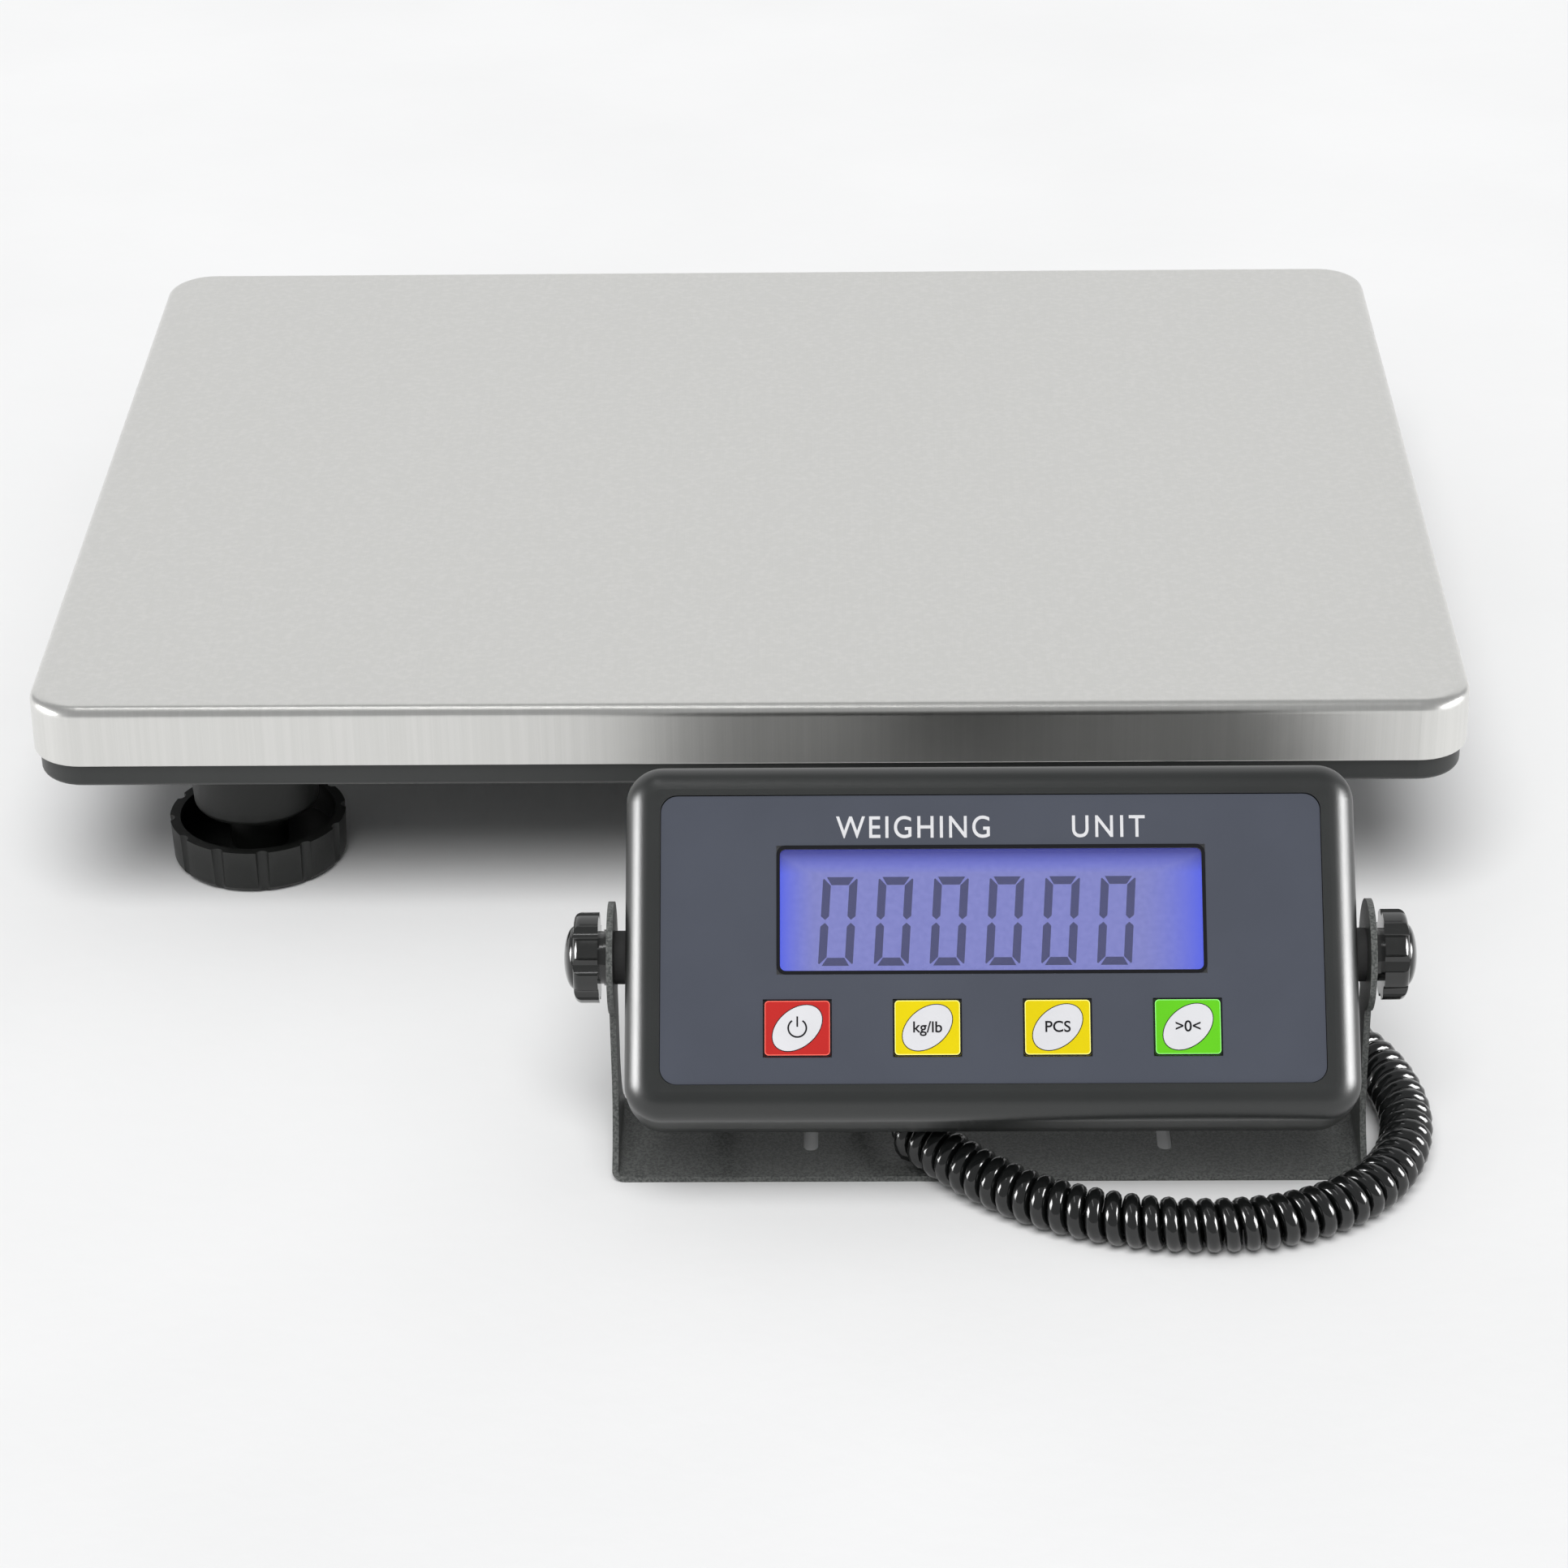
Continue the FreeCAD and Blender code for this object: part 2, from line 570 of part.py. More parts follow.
def make_foot(name, side_x, side_y):
    """Levelling foot: the boss hangs from the cell's tongue, the cup-shaped knob turns on a rubber pad."""
    x, y = f"{side_x} * foot_x", f"{side_y} * foot_y"
    floor = "(platter_height - skirt_height - tray_band)"

    boss = new_body(f"foot_boss_{name}")
    feature(boss, "AdditiveCone", "cup", (x, y, "boss_bottom"),
            Radius1="boss_radius_low", Radius2="boss_radius_top",
            Height=f"{floor} - boss_gap - boss_bottom")
    low = size("boss_bottom")
    round_edges(boss, "lower_edge", "boss_rounding", lambda edge: level_at(edge, 2, low))
    feature(boss, "AdditiveCylinder", "neck", (x, y, f"{floor} - boss_gap - 1"), Radius="boss_neck_radius",
            Height="boss_gap + 1 + tray_sheet + cell_rail")
    feature(boss, "SubtractiveCylinder", "thread", (x, y, "boss_bottom - 1"),
            Radius="stud_radius + stud_clearance",
            Height="stud_top + 2 - boss_bottom")
    feature(boss, "SubtractiveCylinder", "screw_hole", (x, y, f"{floor} + tray_sheet - 5"),
            Radius="screw_hole_radius", Height="cell_rail + 6")
    on_platform(boss, f"foot_boss_{name}")

    knob = new_body(f"foot_knob_{name}")
    feature(knob, "AdditiveCone", "ring", (x, y, "knob_bottom"),
            Radius1="knob_radius_low", Radius2="knob_radius",
            Height="knob_height")
    edge_level = size("knob_bottom")
    round_edges(knob, "lower_edge", "knob_rounding", lambda edge: level_at(edge, 2, edge_level))
    feature(knob, "SubtractiveCylinder", "cup", (x, y, "pad_height + knob_floor"),
            Radius="knob_wall_radius",
            Height="knob_height")
    feature(knob, "SubtractiveCylinder", "pad_seat", (x, y, "knob_bottom - 1"),
            Radius="pad_radius + pad_clearance",
            Height="pad_height - knob_bottom + 1")
    feature(knob, "AdditiveCylinder", "hub", (x, y, "pad_height + 0.5"), Radius="hub_radius",
            Height="boss_bottom - 0.2 - pad_height - 0.5")
    feature(knob, "SubtractiveCylinder", "stud_hole", (x, y, "stud_bottom"), Radius="stud_radius",
            Height="boss_bottom")
    for index in range(int(size("knob_flutes"))):
        angle = f"(360 deg * ({index} + flute_start) / knob_flutes)"
        reach = "(knob_radius + flute_radius - flute_depth)"
        at = (f"{x} + {reach} * sin({angle})", f"{y} - {reach} * cos({angle})", "knob_bottom - 1")
        feature(knob, "SubtractiveCylinder", f"flute_{index}", at, Radius="flute_radius",
                Height="knob_height + 2")
    on_platform(knob, f"foot_knob_{name}")

    stud = new_body(f"foot_stud_{name}")
    feature(stud, "AdditiveCylinder", "shank", (x, y, "stud_bottom"), Radius="stud_radius",
            Height="stud_top - stud_bottom")
    on_platform(stud, f"foot_stud_{name}")

    pad_body = new_body(f"foot_pad_{name}")
    feature(pad_body, "AdditiveCylinder", "disc", (x, y, "0"), Radius="pad_radius", Height="pad_height")
    round_edges(pad_body, "lower_edge", "0.4 * knob_bottom", lambda edge: level_at(edge, 2, 0.0))
    on_platform(pad_body, f"foot_pad_{name}")


def make_junction_board():
    """Summing board that joins the four cells."""
    base = "platter_height - skirt_height - tray_band + tray_sheet + board_post"
    board = box("junction_board_sheet", ("-board_length / 2", "-board_width / 2", base),
                "board_length", "board_width", "board_sheet")
    terminals = [
        box(f"terminal_{name}", (f"{side_x} * (board_length / 2 - 7) - 4",
                                 f"{side_y} * (board_width / 2 - 4) - 3",
                                 f"{base} + board_sheet"), "8", "6", "5")
        for name, side_x, side_y in corner_names()
    ]
    on_platform(fuse("junction_board_fuse", board, *terminals), "junction_board")


def rounded_path(points, bends):
    """Straight runs through the points, joined by tangent arcs of the radius that each bend gives."""
    edges, start = [], points[0]
    for before, corner, after, radius in zip(points, points[1:], points[2:], bends):
        back, ahead = (before - corner).normalize(), (after - corner).normalize()
        half = (math.pi - back.getAngle(ahead)) / 2
        tangent = radius * math.tan(half)
        middle = (back + ahead).normalize() * (radius / math.cos(half) - radius)
        first, last = corner + back * tangent, corner + ahead * tangent
        edges.append(Part.LineSegment(start, first).toShape())
        edges.append(Part.Arc(first, corner + middle, last).toShape())
        start = last
    edges.append(Part.LineSegment(start, points[-1]).toShape())
    return Part.Wire(edges)


def tube(label, points, radius, bends):
    """A round tube along a rounded path, checked against its section times its length."""
    path = rounded_path(points, bends)
    ring = Part.Wire(Part.makeCircle(radius, points[0], points[1] - points[0]))
    shape = path.makePipeShell([ring], True, False)
    expected = math.pi * radius**2 * path.Length
    ratio = shape.Volume / expected
    print(f"{label}: length {path.Length:.1f}, volume over section times length {ratio:.4f}")
    return shape


def largest_bends(label, points, diameter):
    """The largest arc radius that each corner's runs allow, printed for the tightest."""
    bends = []
    for before, corner, after in zip(points, points[1:], points[2:]):
        turn = math.pi - (before - corner).getAngle(after - corner)
        shorter = min((before - corner).Length, (after - corner).Length)
        bends.append(0.45 * shorter / math.tan(turn / 2))
    if bends:
        listed = ", ".join(f"{bend:.0f}" for bend in bends)
        print(f"{label}: radii {listed}; tightest is {min(bends) / diameter:.1f} diameters")
    return bends


def make_platform_wiring():
    """Wires from each cell to the board, and the cable from the board to the gland."""
    tray_floor = size("platter_height") - size("skirt_height") - size("tray_band") + size("tray_sheet")
    level = tray_floor + size("wire_level")
    shapes = []
    for name, side_x, side_y in corner_names():
        lane, exit_y = side_x * size("wire_lane"), side_y * (size("foot_y") - size("wire_exit"))
        corners = [
            (side_x * (size("foot_x") - size("cell_side") / 2), exit_y),
            (lane, exit_y),
            (lane, side_y * (size("board_width") / 2 - 4)),
            (side_x * (size("board_length") / 2 - 3), side_y * (size("board_width") / 2 - 4)),
        ]
        points = [FreeCAD.Vector(x, y, level) for x, y in corners]
        shapes.append(tube(f"wire {name}", points, size("wire_radius"), [size("wire_bend")] * 2))
    lane = size("cable_lane")
    front_edge = -size("platter_depth") / 2
    hole_y = front_edge + size("gland_setback") + size("gland_length") + size("gland_block") / 2
    top = size("gland_axis_height") + size("gland_block") / 2
    cable_level = level - size("cable_drop")
    points = [
        FreeCAD.Vector(size("board_length") / 2, 0, cable_level),
        FreeCAD.Vector(lane, 0, cable_level),
        FreeCAD.Vector(lane, hole_y, cable_level),
        FreeCAD.Vector(lane, hole_y, top - size("cable_drop")),
    ]
    shapes.append(tube("platform cable", points, size("cord_radius"),
                       [size("cable_bend"), size("cable_turn")]))
    item = doc.addObject("Part::Feature", "platform_wiring")
    item.Shape = Part.makeCompound(shapes)
    item.Placement = FreeCAD.Placement(FreeCAD.Vector(0, size("platform_y"), 0), FreeCAD.Rotation())
    sub_part(item, "platform_wiring")


def make_platform_gland():
    """Moulded block under the tray with a tapered sleeve that the cord leaves by."""
    front = "(gland_setback - platter_depth / 2)"
    under = "(platter_height - skirt_height - tray_band)"
    body = new_body("platform_gland")
    feature(body, "AdditiveBox", "block", ("cable_lane - gland_block / 2", f"{front} + gland_length",
                                           "gland_axis_height - gland_block / 2"),
            Length="gland_block", Width="gland_block",
            Height=f"{under} - gland_axis_height + gland_block / 2")
    round_edges(body, "corners", "2", upright)
    feature(body, "AdditiveCone", "sleeve",
            ("cable_lane", f"{front} + gland_length + 0.5", "gland_axis_height"), "-y",
            Radius1="gland_base_radius", Radius2="gland_tip_radius", Height="gland_length + 0.5")
    at = ("cable_lane", f"{front} + gland_length + gland_block / 2",
          "gland_axis_height + gland_block / 2 - cable_drop")
    feature(body, "SubtractiveCylinder", "cable_hole", at, Radius="cord_radius", Height="gland_block")
    on_platform(body, "platform_gland")


# ---------------------------------------------------------------- indicator case


def case_shell(name, depth_low, depth_high, inset, rounding, edge_level):
    """A half case: rounded corners, one rolled edge, still solid. Y runs into the case from its face."""
    body = new_body(name)
    outline = rectangle(body, "outline", "XZ_Plane",
                        (f"{inset} - case_width / 2", f"case_centre - case_height / 2 + {inset}"),
                        f"case_width - 2 * {inset}", f"case_height - 2 * {inset}", f"-({depth_low})",
                        f"case_corner - {inset}")
    pad(body, "block", outline, f"{depth_high} - ({depth_low})", reverse=True)
    round_edges(body, "rolled_edge", rounding, lambda edge: level_at(edge, 1, edge_level))
    return body


def hollow_shell(body, near, far, inset):
    """Cuts the inside of a half case between two depths, and rounds its corners."""
    wall = f"(shell_wall + {inset})"
    inside = rectangle(body, "inside", "XZ_Plane",
                       (f"{wall} - case_width / 2", f"case_centre - case_height / 2 + {wall}"),
                       f"case_width - 2 * {wall}", f"case_height - 2 * {wall}", f"-({near})",
                       f"case_corner - {wall}")
    pocket(body, "hollow", inside, f"{far} - ({near})", reverse=False)


def case_screw_places():
    """The four case screws: number, side along X and the size that gives their height."""
    return [(0, -1, "screw_low"), (1, 1, "screw_low"), (2, -1, "screw_high"), (3, 1, "screw_high")]


def add_case_posts(body, near, length, hole, hole_length):
    """Four screw posts."""
    for number, side, height in case_screw_places():
        feature(body, "AdditiveCylinder", f"post_{number}", (f"{side} * screw_x", near, height), "y",
                Radius="post_radius", Height=length)
    for number, side, height in case_screw_places():
        feature(body, "SubtractiveCylinder", f"post_hole_{number}",
                (f"{side} * screw_x", f"{near} - 0.5", height), "y",
                Radius=hole, Height=hole_length)


def add_insert_blocks(body, near, depth):
    """Blocks beside the tilt axis, each with its half of the hole for the threaded insert."""
    for side in (-1, 1):
        inner = "(insert_length + 2)"
        left = f"case_width / 2 - {inner}" if side > 0 else "shell_wall / 2 - case_width / 2"
        feature(body, "AdditiveBox", f"insert_block_{side + 1}", (left, near, "-insert_block"),
                Length=f"{inner} - shell_wall / 2", Width=depth, Height="2 * insert_block")
    for side in (-1, 1):
        start = "case_width / 2 - insert_length" if side > 0 else "-case_width / 2 - 1"
        feature(body, "SubtractiveCylinder", f"insert_hole_{side + 1}", (start, "0", "0"), "x",
                Radius="insert_radius", Height="insert_length + 1")


def key_names():
    """Keys from left to right: name and place in units of the key pitch."""
    return [("power", -1.5), ("unit", -0.5), ("count", 0.5), ("tare", 1.5)]


def make_front_shell():
    """Front half with the rolled bezel, the overlay's recess, the window and the key holes."""
    body = case_shell("front_shell", "-front_depth", "0", "0", "bezel_rounding", -size("front_depth"))
    hollow_shell(body, "front_wall - front_depth", "0", "0")
    recess = rectangle(body, "recess", "XZ_Plane",
                       ("-overlay_width / 2 - overlay_gap",
                        "overlay_centre - overlay_height / 2 - overlay_gap"),
                       "overlay_width + 2 * overlay_gap", "overlay_height + 2 * overlay_gap",
                       "front_depth + 1", "overlay_corner")
    pocket(body, "overlay_recess", recess, "1 + overlay_sunk + overlay_film")
    window = rectangle(body, "window", "XZ_Plane",
                       ("window_lip - window_width / 2", "window_centre - window_height / 2 + window_lip"),
                       "window_width - 2 * window_lip", "window_height - 2 * window_lip", "front_depth + 1")
    pocket(body, "window_hole", window, "front_wall + 2")
    for name, place_in_row in key_names():
        feature(body, "SubtractiveCylinder", f"key_hole_{name}",
                (f"{place_in_row} * key_pitch", "-front_depth", "key_centre"), "y",
                Radius="plunger_hole", Height="front_wall + 1")
    add_case_posts(body, "front_wall - front_depth - 0.5", "front_depth - front_wall + 0.5",
                   "screw_radius", "front_depth")
    add_insert_blocks(body, "-insert_block", "insert_block")
    in_case(body, "front_shell")


def make_rear_shell():
    """Rear half with the battery bay, the cord and power openings and the screw holes."""
    body = case_shell("rear_shell", "0", "rear_depth", "rear_inset", "rear_rounding", size("rear_depth"))
    hollow_shell(body, "-1", "rear_depth - shell_wall", "rear_inset")
    feature(body, "AdditiveBox", "bay", ("-bay_width / 2 - bay_wall", "bay_floor - bay_wall",
                                         "bay_centre - bay_height / 2 - bay_wall"),
            Length="bay_width + 2 * bay_wall", Width="rear_depth - shell_wall / 2 - bay_floor + bay_wall",
            Height="bay_height + 2 * bay_wall")
    feature(body, "SubtractiveBox", "bay_inside",
            ("-bay_width / 2", "bay_floor", "bay_centre - bay_height / 2"),
            Length="bay_width", Width="rear_depth", Height="bay_height")
    margin = "(cover_margin + cover_gap)"
    feature(body, "SubtractiveBox", "cover_seat",
            (f"-bay_width / 2 - {margin}", "rear_depth - cover_sheet - 0.05",
             f"bay_centre - bay_height / 2 - {margin}"),
            Length=f"bay_width + 2 * {margin}", Width="cover_sheet + 1", Height=f"bay_height + 2 * {margin}")
    add_case_posts(body, "0", "rear_depth - shell_wall / 2", "screw_radius + 0.2", "rear_depth + 1")
    for number, side, height in case_screw_places():
        feature(body, "SubtractiveCylinder", f"head_hole_{number}",
                (f"{side} * screw_x", "rear_depth - 4", height), "y",
                Radius="screw_head_radius + 0.3", Height="6")
    add_insert_blocks(body, "0", "insert_block")
    feature(body, "SubtractiveCylinder", "jack_hole",
            ("jack_x", "rear_depth - shell_wall - 1", "jack_centre"), "y",
            Radius="jack_radius", Height="shell_wall + 2")
    feature(body, "SubtractiveCylinder", "cord_hole",
            ("cord_exit_x", "rear_depth - shell_wall - 1", "cord_exit_centre"), "y",
            Radius="gland_base_radius", Height="shell_wall + 2")
    in_case(body, "rear_shell")


def make_overlay():
    """Printed overlay with openings for the window and the keys."""
    front = "(overlay_sunk - front_depth)"
    body = new_body("overlay")
    outline = rectangle(body, "outline", "XZ_Plane",
                        ("-overlay_width / 2", "overlay_centre - overlay_height / 2"),
                        "overlay_width", "overlay_height", f"-{front}", "overlay_corner")
    pad(body, "film", outline, "overlay_film", reverse=True)
    feature(body, "SubtractiveBox", "window",
            ("-window_width / 2", f"{front} - 1", "window_centre - window_height / 2"),
            Length="window_width", Width="overlay_film + 2", Height="window_height")
    for name, place_in_row in key_names():
        at = (f"{place_in_row} * key_pitch - key_width / 2 - key_gap", f"{front} - 1",
              "key_centre - key_height / 2 - key_gap")
        feature(body, "SubtractiveBox", f"key_{name}", at, Length="key_width + 2 * key_gap",
                Width="overlay_film + 2", Height="key_height + 2 * key_gap")
    in_case(body, "overlay")


def make_display():
    """Clear window, liquid crystal cell and backlight, one behind the other."""
    window = box("display_window_sheet",
                 ("-window_width / 2", "overlay_sunk + overlay_film - window_sheet - front_depth",
                  "window_centre - window_height / 2"),
                 "window_width", "window_sheet", "window_height")
    in_case(group("display_window_group", window), "display_window")
    corner = ("-display_width / 2", "front_wall - front_depth", "window_centre - display_height / 2")
    glass = box("lcd_panel_glass", corner, "display_width", "display_sheet", "display_height")
    in_case(group("lcd_panel_group", glass), "lcd_panel")
    corner = (corner[0], "front_wall - front_depth + display_sheet", corner[2])
    block = box("backlight_block", corner, "display_width", "backlight_sheet", "display_height")
    in_case(group("backlight_group", block), "backlight")


def make_key(name, place_in_row):
    """Embossed key with the stem that reaches its switch."""
    front = "(overlay_sunk - key_proud - front_depth)"
    x = f"{place_in_row} * key_pitch"
    body = new_body(f"key_{name}")
    outline = rectangle(body, "outline", "XZ_Plane",
                        (f"{x} - key_width / 2", "key_centre - key_height / 2"),
                        "key_width", "key_height", f"-{front}", "key_corner")
    pad(body, "plate", outline, "key_sheet", reverse=True)
    feature(body, "AdditiveCylinder", "stem", (x, f"{front} + key_sheet / 2", "key_centre"), "y",
            Radius="plunger_radius",
            Height=f"main_board_front - switch_height - key_to_switch - ({front} + key_sheet / 2)")
    in_case(body, f"key_{name}")


# Parts on the back of the main board: X and Z of a corner or an axis from the tilt axis, then their sizes.
BOARD_BOXES = [
    ("converter_chip", "-50", "-22", "10", "1.8", "10"),
    ("processor_chip", "-52", "10", "14", "2", "14"),
    ("load_plug", "-60", "-29", "10", "3", "5"),
    ("power_plug", "40", "-29", "10", "3", "5"),
]
BOARD_RODS = [
    ("capacitor", "55", "14", "4", "7"),
    ("sounder", "52", "-8", "6", "5"),
]


def make_boards():
    """Main board, the parts on its back and the key switches on its front."""
    sheet_box = box("main_board_sheet",
                    ("-main_board_width / 2", "main_board_front", "case_centre - main_board_height / 2"),
                    "main_board_width", "board_sheet", "main_board_height")
    in_case(group("main_board_group", sheet_box), "main_board")
    back = "main_board_front + board_sheet"
    chips = []
    for name, x, z, length, depth, height in BOARD_BOXES:
        chips.append(box(name, (x, back, z), length, depth, height))
    for name, x, z, radius, height in BOARD_RODS:
        chips.append(rod(name, (x, back, z), radius, height, "y"))
    in_case(group("board_parts_group", *chips), "board_parts")
    switches = [
        box(f"switch_{name}", (f"{place_in_row} * key_pitch - switch_side / 2",
                               "main_board_front - switch_height",
                               "key_centre - switch_side / 2"), "switch_side", "switch_height", "switch_side")
        for name, place_in_row in key_names()
    ]
    in_case(group("key_switches_group", *switches), "key_switches")


def make_battery_bay_parts():
    """Cover, four cells side by side and their contact plates."""
    body = new_body("battery_cover")
    corner = ("-bay_width / 2 - cover_margin", "bay_centre - bay_height / 2 - cover_margin")
    outline = rectangle(body, "outline", "XZ_Plane", corner, "bay_width + 2 * cover_margin",
                        "bay_height + 2 * cover_margin", "-rear_depth + cover_sheet")
    pad(body, "plate", outline, "cover_sheet", reverse=True)
    low = size("bay_centre") - size("bay_height") / 2 - size("cover_margin")
    round_edges(body, "hinge_edge", "cover_sheet / 2 - 0.01",
                lambda edge: along(edge, 0) and level_at(edge, 2, low))
    feature(body, "SubtractiveCylinder", "finger_notch",
            ("0", "rear_depth - notch_depth", "bay_centre + bay_height / 2 + cover_margin + 3"), "y",
            Radius="notch_radius", Height="2")
    in_case(body, "battery_cover")

    y = "bay_floor + cell_radius + 0.1"
    low_end = "bay_centre - cell_length / 2"
    cells = [
        rod(f"battery_{number}", (f"{number - 1.5} * (2 * cell_radius + 0.4)", y, low_end), "cell_radius",
            "cell_length")
        for number in range(4)
    ]
    in_case(group("battery_cells_group", *cells), "battery_cells")

    plates = []
    for name, base in (("low", "bay_centre - bay_height / 2"),
                       ("high", "bay_centre + bay_height / 2 - contact_sheet")):
        for number in range(2):
            corner = (f"{number - 1} * bay_width / 2 + 1", "bay_floor + 1", base)
            plates.append(box(f"contact_{name}_{number}", corner, "bay_width / 2 - 2",
                              "2 * cell_radius - 2", "contact_sheet"))
    in_case(group("battery_contacts_group", *plates), "battery_contacts")


def make_power_jack():
    """Barrel socket for the adapter."""
    start = "rear_depth - jack_bore_depth - 2"
    barrel = rod("jack_barrel", ("jack_x", start, "jack_centre"), "jack_radius - 0.05",
                 "jack_bore_depth + 2", "y")
    mouth = rod("jack_mouth", ("jack_x", f"{start} + 2", "jack_centre"), "jack_bore_radius",
                "jack_bore_depth + 1", "y")
    pin = rod("jack_pin", ("jack_x", f"{start} + 1", "jack_centre"), "jack_pin_radius",
              "jack_bore_depth - 1", "y")
    in_case(fuse("power_jack_fuse", cut("jack_body", barrel, mouth), pin), "power_jack")


def make_case_screws():
    """Four screws through the rear shell into the front shell's posts."""
    screws = []
    for number, side, height in case_screw_places():
        x = f"{side} * screw_x"
        shank = rod(f"case_shank_{number}", (x, "-9", height), "screw_radius", "rear_depth + 5", "y")
        head = rod(f"case_head_{number}", (x, "rear_depth - 4", height), "screw_head_radius", "2.2", "y")
        screws.append(fuse(f"case_screw_{number}", shank, head))
    in_case(group("case_screws_group", *screws), "case_screws")


def make_case_gland():
    """Tapered strain relief on the back of the case."""
    start = "rear_depth - shell_wall"
    sleeve = solid("Cone", "case_gland_sleeve", ("cord_exit_x", "rear_depth", "cord_exit_centre"), "y",
                   Radius1="gland_base_radius", Radius2="gland_tip_radius", Height="cord_exit_length")
    neck = rod("case_gland_neck", ("cord_exit_x", f"{start} - 2", "cord_exit_centre"),
               "gland_base_radius - 0.1",
               "shell_wall + 2.5", "y")
    flange = rod("case_gland_flange", ("cord_exit_x", f"{start} - 2", "cord_exit_centre"),
                 "gland_base_radius + 1.4",
                 "2", "y")
    in_case(fuse("case_gland_fuse", sleeve, neck, flange), "case_gland")


def make_pivot_parts():
    """Threaded inserts and rubber spacers, one of each on both sides of the case."""
    inserts, spacers = [], []
    gap = "(bracket_width / 2 - bracket_sheet - case_width / 2 - spacer_gap)"
    for name, side in (("left", -1), ("right", 1)):
        turn = "x" if side > 0 else "-x"
        start = f"{side} * (case_width / 2 - insert_length)"
        outer = rod(f"insert_{name}_outer", (start, "0", "0"), "insert_radius", "insert_length", turn)
        inner = rod(f"insert_{name}_inner", (f"{start} - {side}", "0", "0"),
                    "clamp_stud_radius + clamp_stud_clearance",
                    "insert_length + 2", turn)
        inserts.append(cut(f"insert_{name}", outer, inner))
        start = f"{side} * case_width / 2"
        outer = rod(f"spacer_{name}_outer", (start, "0", "0"), "spacer_radius", gap, turn)
        inner = rod(f"spacer_{name}_inner", (f"{start} - {side}", "0", "0"), "arm_hole_radius",
                    f"{gap} + 2", turn)
        spacers.append(cut(f"spacer_{name}", outer, inner))
    in_case(group("pivot_inserts_group", *inserts), "pivot_inserts")
    in_case(group("pivot_spacers_group", *spacers), "pivot_spacers")


def make_clamp_knob(name, side):
    """Star knob on its stud, with the washer that it presses on the arm."""
    turn = "x" if side > 0 else "-x"
    face = "(bracket_width / 2 + spacer_gap)"

    washer = new_body(f"knob_washer_{name}")
    feature(washer, "AdditiveCylinder", "disc", (f"{side} * {face}", "0", "0"), turn,
            Radius="washer_radius", Height="washer_sheet")
    feature(washer, "SubtractiveCylinder", "hole", (f"{side} * ({face} - 1)", "0", "0"), turn,
            Radius="arm_hole_radius", Height="washer_sheet + 2")
    in_case(washer, f"knob_washer_{name}")

    stud = new_body(f"knob_stud_{name}")
    feature(stud, "AdditiveCylinder", "shank",
            (f"{side} * (case_width / 2 - insert_length + 3.5)", "0", "0"), turn,
            Radius="clamp_stud_radius",
            Height=f"{face} + washer_sheet + star_collar + star_thickness / 2"
                   " - case_width / 2 + insert_length - 3.5")
    in_case(stud, f"knob_stud_{name}")

    star = new_body(f"star_knob_{name}")
    base = f"({face} + washer_sheet)"
    feature(star, "AdditiveCylinder", "collar", (f"{side} * {base}", "0", "0"), turn,
            Radius="star_collar_radius", Height="star_collar + 1")
    feature(star, "AdditiveCylinder", "disc", (f"{side} * ({base} + star_collar)", "0", "0"), turn,
            Radius="star_radius", Height="star_thickness")
    outer_face = side * (size("bracket_width") / 2 + size("spacer_gap") + size("washer_sheet")
                         + size("star_collar") + size("star_thickness"))
    round_edges(star, "rim", "star_rounding", lambda edge: round_at(edge, outer_face))
    for index in range(int(size("star_lobes"))):
        angle = f"(360 deg * {index + 0.5} / star_lobes)"
        at = (f"{side} * ({base} + star_collar - 1)", f"star_cut_offset * sin({angle})",
              f"star_cut_offset * cos({angle})")
        feature(star, "SubtractiveCylinder", f"hollow_{index}", at, turn,
                Radius="star_cut_radius", Height="star_thickness + 2")
    dome = feature(star, "AdditiveEllipsoid", "dome",
                   (f"{side} * ({base} + star_collar + star_thickness)", "0", "0"), turn,
                   Radius1="dome_height", Radius2="dome_radius", Radius3="dome_radius")
    dome.Angle1 = 0
    feature(star, "SubtractiveCylinder", "stud_hole", (f"{side} * ({base} - 1)", "0", "0"), turn,
            Radius="clamp_stud_radius", Height="1 + star_collar + star_thickness / 2")
    in_case(star, f"star_knob_{name}")


# ---------------------------------------------------------------- bracket


def arm_outline():
    """Side view of one arm about its foot: full depth at the bend, drawn in to a neck, then a round tip."""
    half, neck, foot = size("bracket_depth") / 2, size("arm_neck") / 2, size("arm_foot_height")
    centre, tip = size("pivot_height"), size("arm_tip_radius")
    start = size("bracket_bend")
    join = centre - math.sqrt(tip**2 - neck**2)

    def point(y, z):
        return FreeCAD.Vector(0, y, z)

    mid_y, mid_z = neck + (half - neck) * 0.22, start + (foot - start) * 0.42
    return Part.Wire([
        Part.LineSegment(point(-half, start), point(half, start)).toShape(),
        Part.Arc(point(half, start), point(mid_y, mid_z), point(neck, foot)).toShape(),
        Part.LineSegment(point(neck, foot), point(neck, join)).toShape(),
        Part.Arc(point(neck, join), point(0, centre + tip), point(-neck, join)).toShape(),
        Part.LineSegment(point(-neck, join), point(-neck, foot)).toShape(),
        Part.Arc(point(-neck, foot), point(-mid_y, mid_z), point(-half, start)).toShape(),
    ])


